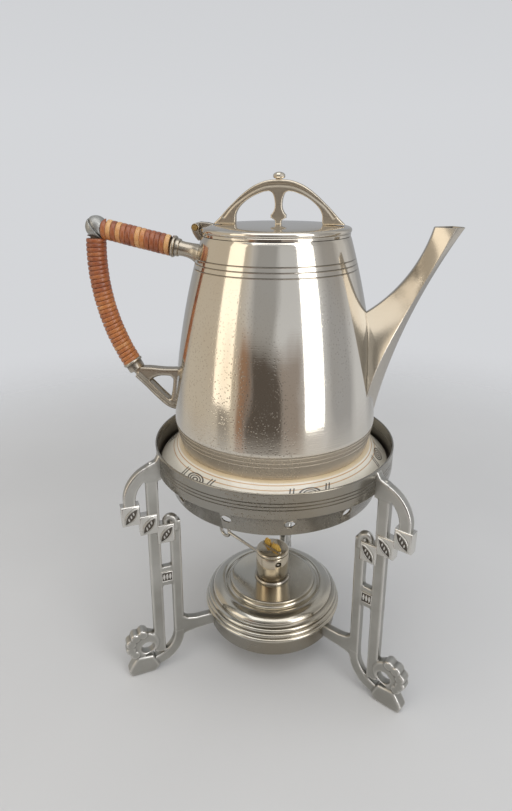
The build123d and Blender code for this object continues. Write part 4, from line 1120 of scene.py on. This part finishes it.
def wick_strip():
    """Flat wick with a frayed top in golden tufts."""
    section = bow((7.3, 0), 0.9, -90, 90, 5) + bow((-7.3, 0), 0.9, 90, 270, 5)
    heights = [30.0 + 2.0 * i for i in range(25)]
    strip = loft([[Vector((x, y + 0.08 * math.sin(z * 1.7), z)) for x, y in section] for z in heights])
    half_width, half_thick = 8.1, 1.08
    for middle, size, rise in ((4.6, 2.9, 4.2), (-4.0, 4.0, 3.4), (-1.2, 2.0, 2.4)):
        lump = ball(1.0, 14, 28)
        points = []
        for p in lump.points:
            ripple = 0.2 * math.sin(5 * p.x + 3 * middle) * math.cos(6 * p.z + p.y * 4)
            wobble = 1 + ripple + rng.uniform(-0.06, 0.06)
            x, y, z = middle + p.x * size * wobble, p.y * 1.2 * wobble, WICK_TOP + p.z * rise * wobble
            points.append((max(-half_width, min(half_width, x)), max(-half_thick, min(half_thick, y)), z))
        strip.add(Shape(points, lump.faces))
    for _ in range(22):
        x = rng.uniform(-6, 6)
        lean = Vector((rng.uniform(-0.8, 0.8), rng.uniform(-0.15, 0.15), rng.uniform(0.4, 1.4)))
        start = Vector((x, rng.uniform(-0.5, 0.5), WICK_TOP + 0.2))
        strand = [start + lean * t * 1.5 + Vector((0, 0, t * (2 - t) * 1.6)) for t in (0, 0.4, 0.8, 1.2, 1.6)]
        strip.add(wire(strand, lambda s: 0.30 - 0.2 * s, 6))
    return on_wick(strip)


piece("tank_cover_beaded", tank_top(), "burner", TANK_PEWTER, ["tank_cover", "tank_rim"], 40)
# The lower bowl takes the darker pewter as painted shade.
piece("tank_bowl_lower", tank_bottom(), "burner", DARK_PEWTER, ["tank_bowl"])
piece("neck_foot_ring", neck_foot(), "burner", DULL_PEWTER, ["neck_collar"])
piece("slotted_neck", neck(), "burner_head", NECK_PEWTER, ["neck_sleeve"], 40)
piece("flat_wick_tube", wick_tube(), "burner_head", DULL_PEWTER, ["wick_tube"], 40)
piece("thumb_ring_shaft", thumb_shaft(), "wick_knob", DULL_PEWTER, ["wick_shaft"], 40)
piece("frayed_wick", wick_strip(), "wick", COTTON, ["wick"], 60)


# CAD nodes that keep their own shape
KEPT = {"leg_screws": CAST, "upper_bar": WOOD, "lower_bar": WOOD, "hinge_pin": BRASS}
for node, finish in KEPT.items():
    mesh_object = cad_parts[node]
    if not mesh_object.material_slots:
        mesh_object.data.materials.append(finish)
    for material_slot in mesh_object.material_slots:
        material_slot.material = finish


# Table, light and world
def stage_form(name, shape, finish):
    """Something of the room, which is not part of the object."""
    mesh = raw_mesh(name, [p * MM for p in shape.points], shape.faces)
    mesh.materials.append(finish)
    item = linked(name, mesh)
    return item


def floor():
    """Pale table that fades into the room away from the object."""
    f = Finish("pale_table")
    colour = f.mix(f.noise(6, detail=2), (0.62, 0.62, 0.625), (0.68, 0.68, 0.68))
    away = f.node("VectorMath", {0: f.place()}, operation="LENGTH", out="Value")
    fade = f.node("MapRange", {0: away, 1: 0.30, 2: 0.85, 3: 1.0, 4: 0.0}, interpolation_type="SMOOTHSTEP")
    disc = lathe([(0, 0), (200, 0), (500, 0), (900, 0)], 96, closed=False)
    stage_form("pale_table", disc, f.show(Base_Color=colour, Roughness=0.75, Alpha=fade))


def lamp(name, azimuth, distance, height, size, power, tint=(1, 1, 1)):
    """Soft rectangular lamp that faces the object and is not seen by the camera."""
    data = bpy.data.lights.new(name, "AREA")
    data.shape = "RECTANGLE"
    data.size, data.size_y = size
    data.energy = power
    data.color = tint
    item = linked(name, data)
    angle = math.radians(azimuth)
    target = Vector((0, 0, 0.22))
    place = Vector((distance * math.cos(angle), distance * math.sin(angle), height))
    item.location = place
    item.rotation_mode = "QUATERNION"
    item.rotation_quaternion = (target - place).to_track_quat("-Z", "Y")
    item.visible_camera = False


floor()
lamp("window_right", -39, 1.3, 0.55, (0.55, 1.5), 7)
lamp("window_left", -141, 1.4, 0.55, (0.60, 1.3), 2.6, (1.0, 0.91, 0.77))
lamp("overhead", -85, 0.45, 1.45, (1.5, 1.3), 8)


def studio_cards():
    """Dim upright cards in a wide round screen, which the curved metal shows as soft bands."""
    f = Finish("studio_cards")
    height = f.height()
    wavy = f.node("TexNoise", {"Vector": f.place(), "Scale": 1.8, "Detail": 2.0}) - 0.5

    def facing(azimuth):
        way = (math.cos(math.radians(azimuth)), math.sin(math.radians(azimuth)), 0)
        return f.node("VectorMath", {0: f.place(), 1: way}, operation="DOT_PRODUCT", out="Value")

    # degrees from the front of the object, positive to the right of the picture
    turn = f.node("Math", {0: facing(9), 1: facing(-81)}, operation="ARCTAN2") * math.degrees(1) + wavy * 22
    under = f.ramp(height + wavy * 0.3, 0.30, 0.50, 1.0, 0.0)
    shade = f.mix(f.ramp(height, 0.4, 1.5), (0.66, 0.67, 0.69), (0.58, 0.59, 0.60))
    # middle and half width in degrees, softness, strength and colour of each card
    for middle, half, soft, strength, colour in (
            (-84, 46, 10, 0.75, (0.58, 0.50, 0.38)), (-14, 17, 4, (1 - under) * 0.6, (0.22, 0.215, 0.205)),
            (-58, 5, 3, under * 0.6, (0.17, 0.15, 0.13)), (-36, 7, 3, under * 0.85, (0.30, 0.15, 0.07)),
            (-11, 19, 4, under * 0.95, (0.085, 0.068, 0.055)), (18, 11, 4, under * 0.75, (0.25, 0.19, 0.145)),
            (78, 17, 6, 0.6, (0.24, 0.24, 0.245)), (180, 55, 8, 0.6, (0.20, 0.21, 0.225)),
            (-180, 55, 8, 0.6, (0.20, 0.21, 0.225))):
        shade = f.mix(f.band(turn, middle, half, soft) * strength, shade, colour)
    screen = lathe([(1600, -700), (1600, 1500)], 96, closed=False)
    glow = f.show(Base_Color=(0, 0, 0), Roughness=1.0, Specular_IOR_Level=0.0, Emission_Color=shade,
                  Emission_Strength=1.0)
    stage_form("studio_cards", screen, glow).visible_camera = False


def room_light():
    """Plain pale room, a little dimmer overhead."""
    world = bpy.data.worlds.new("room")
    bpy.context.scene.world = world
    world.use_nodes = True
    f = Finish("room", world.node_tree)
    height = f.node("SeparateXYZ", {"Vector": f.node("TexCoord", out="Generated")}, out=2)
    sky = f.mix(f.ramp(height, 0.1, 0.8), (0.66, 0.67, 0.69), (0.52, 0.53, 0.54))
    f.node("OutputWorld", {"Surface": f.node("Background", {"Color": sky, "Strength": 1.0})})


studio_cards()
room_light()

bpy.context.scene.view_settings.view_transform = "Standard"
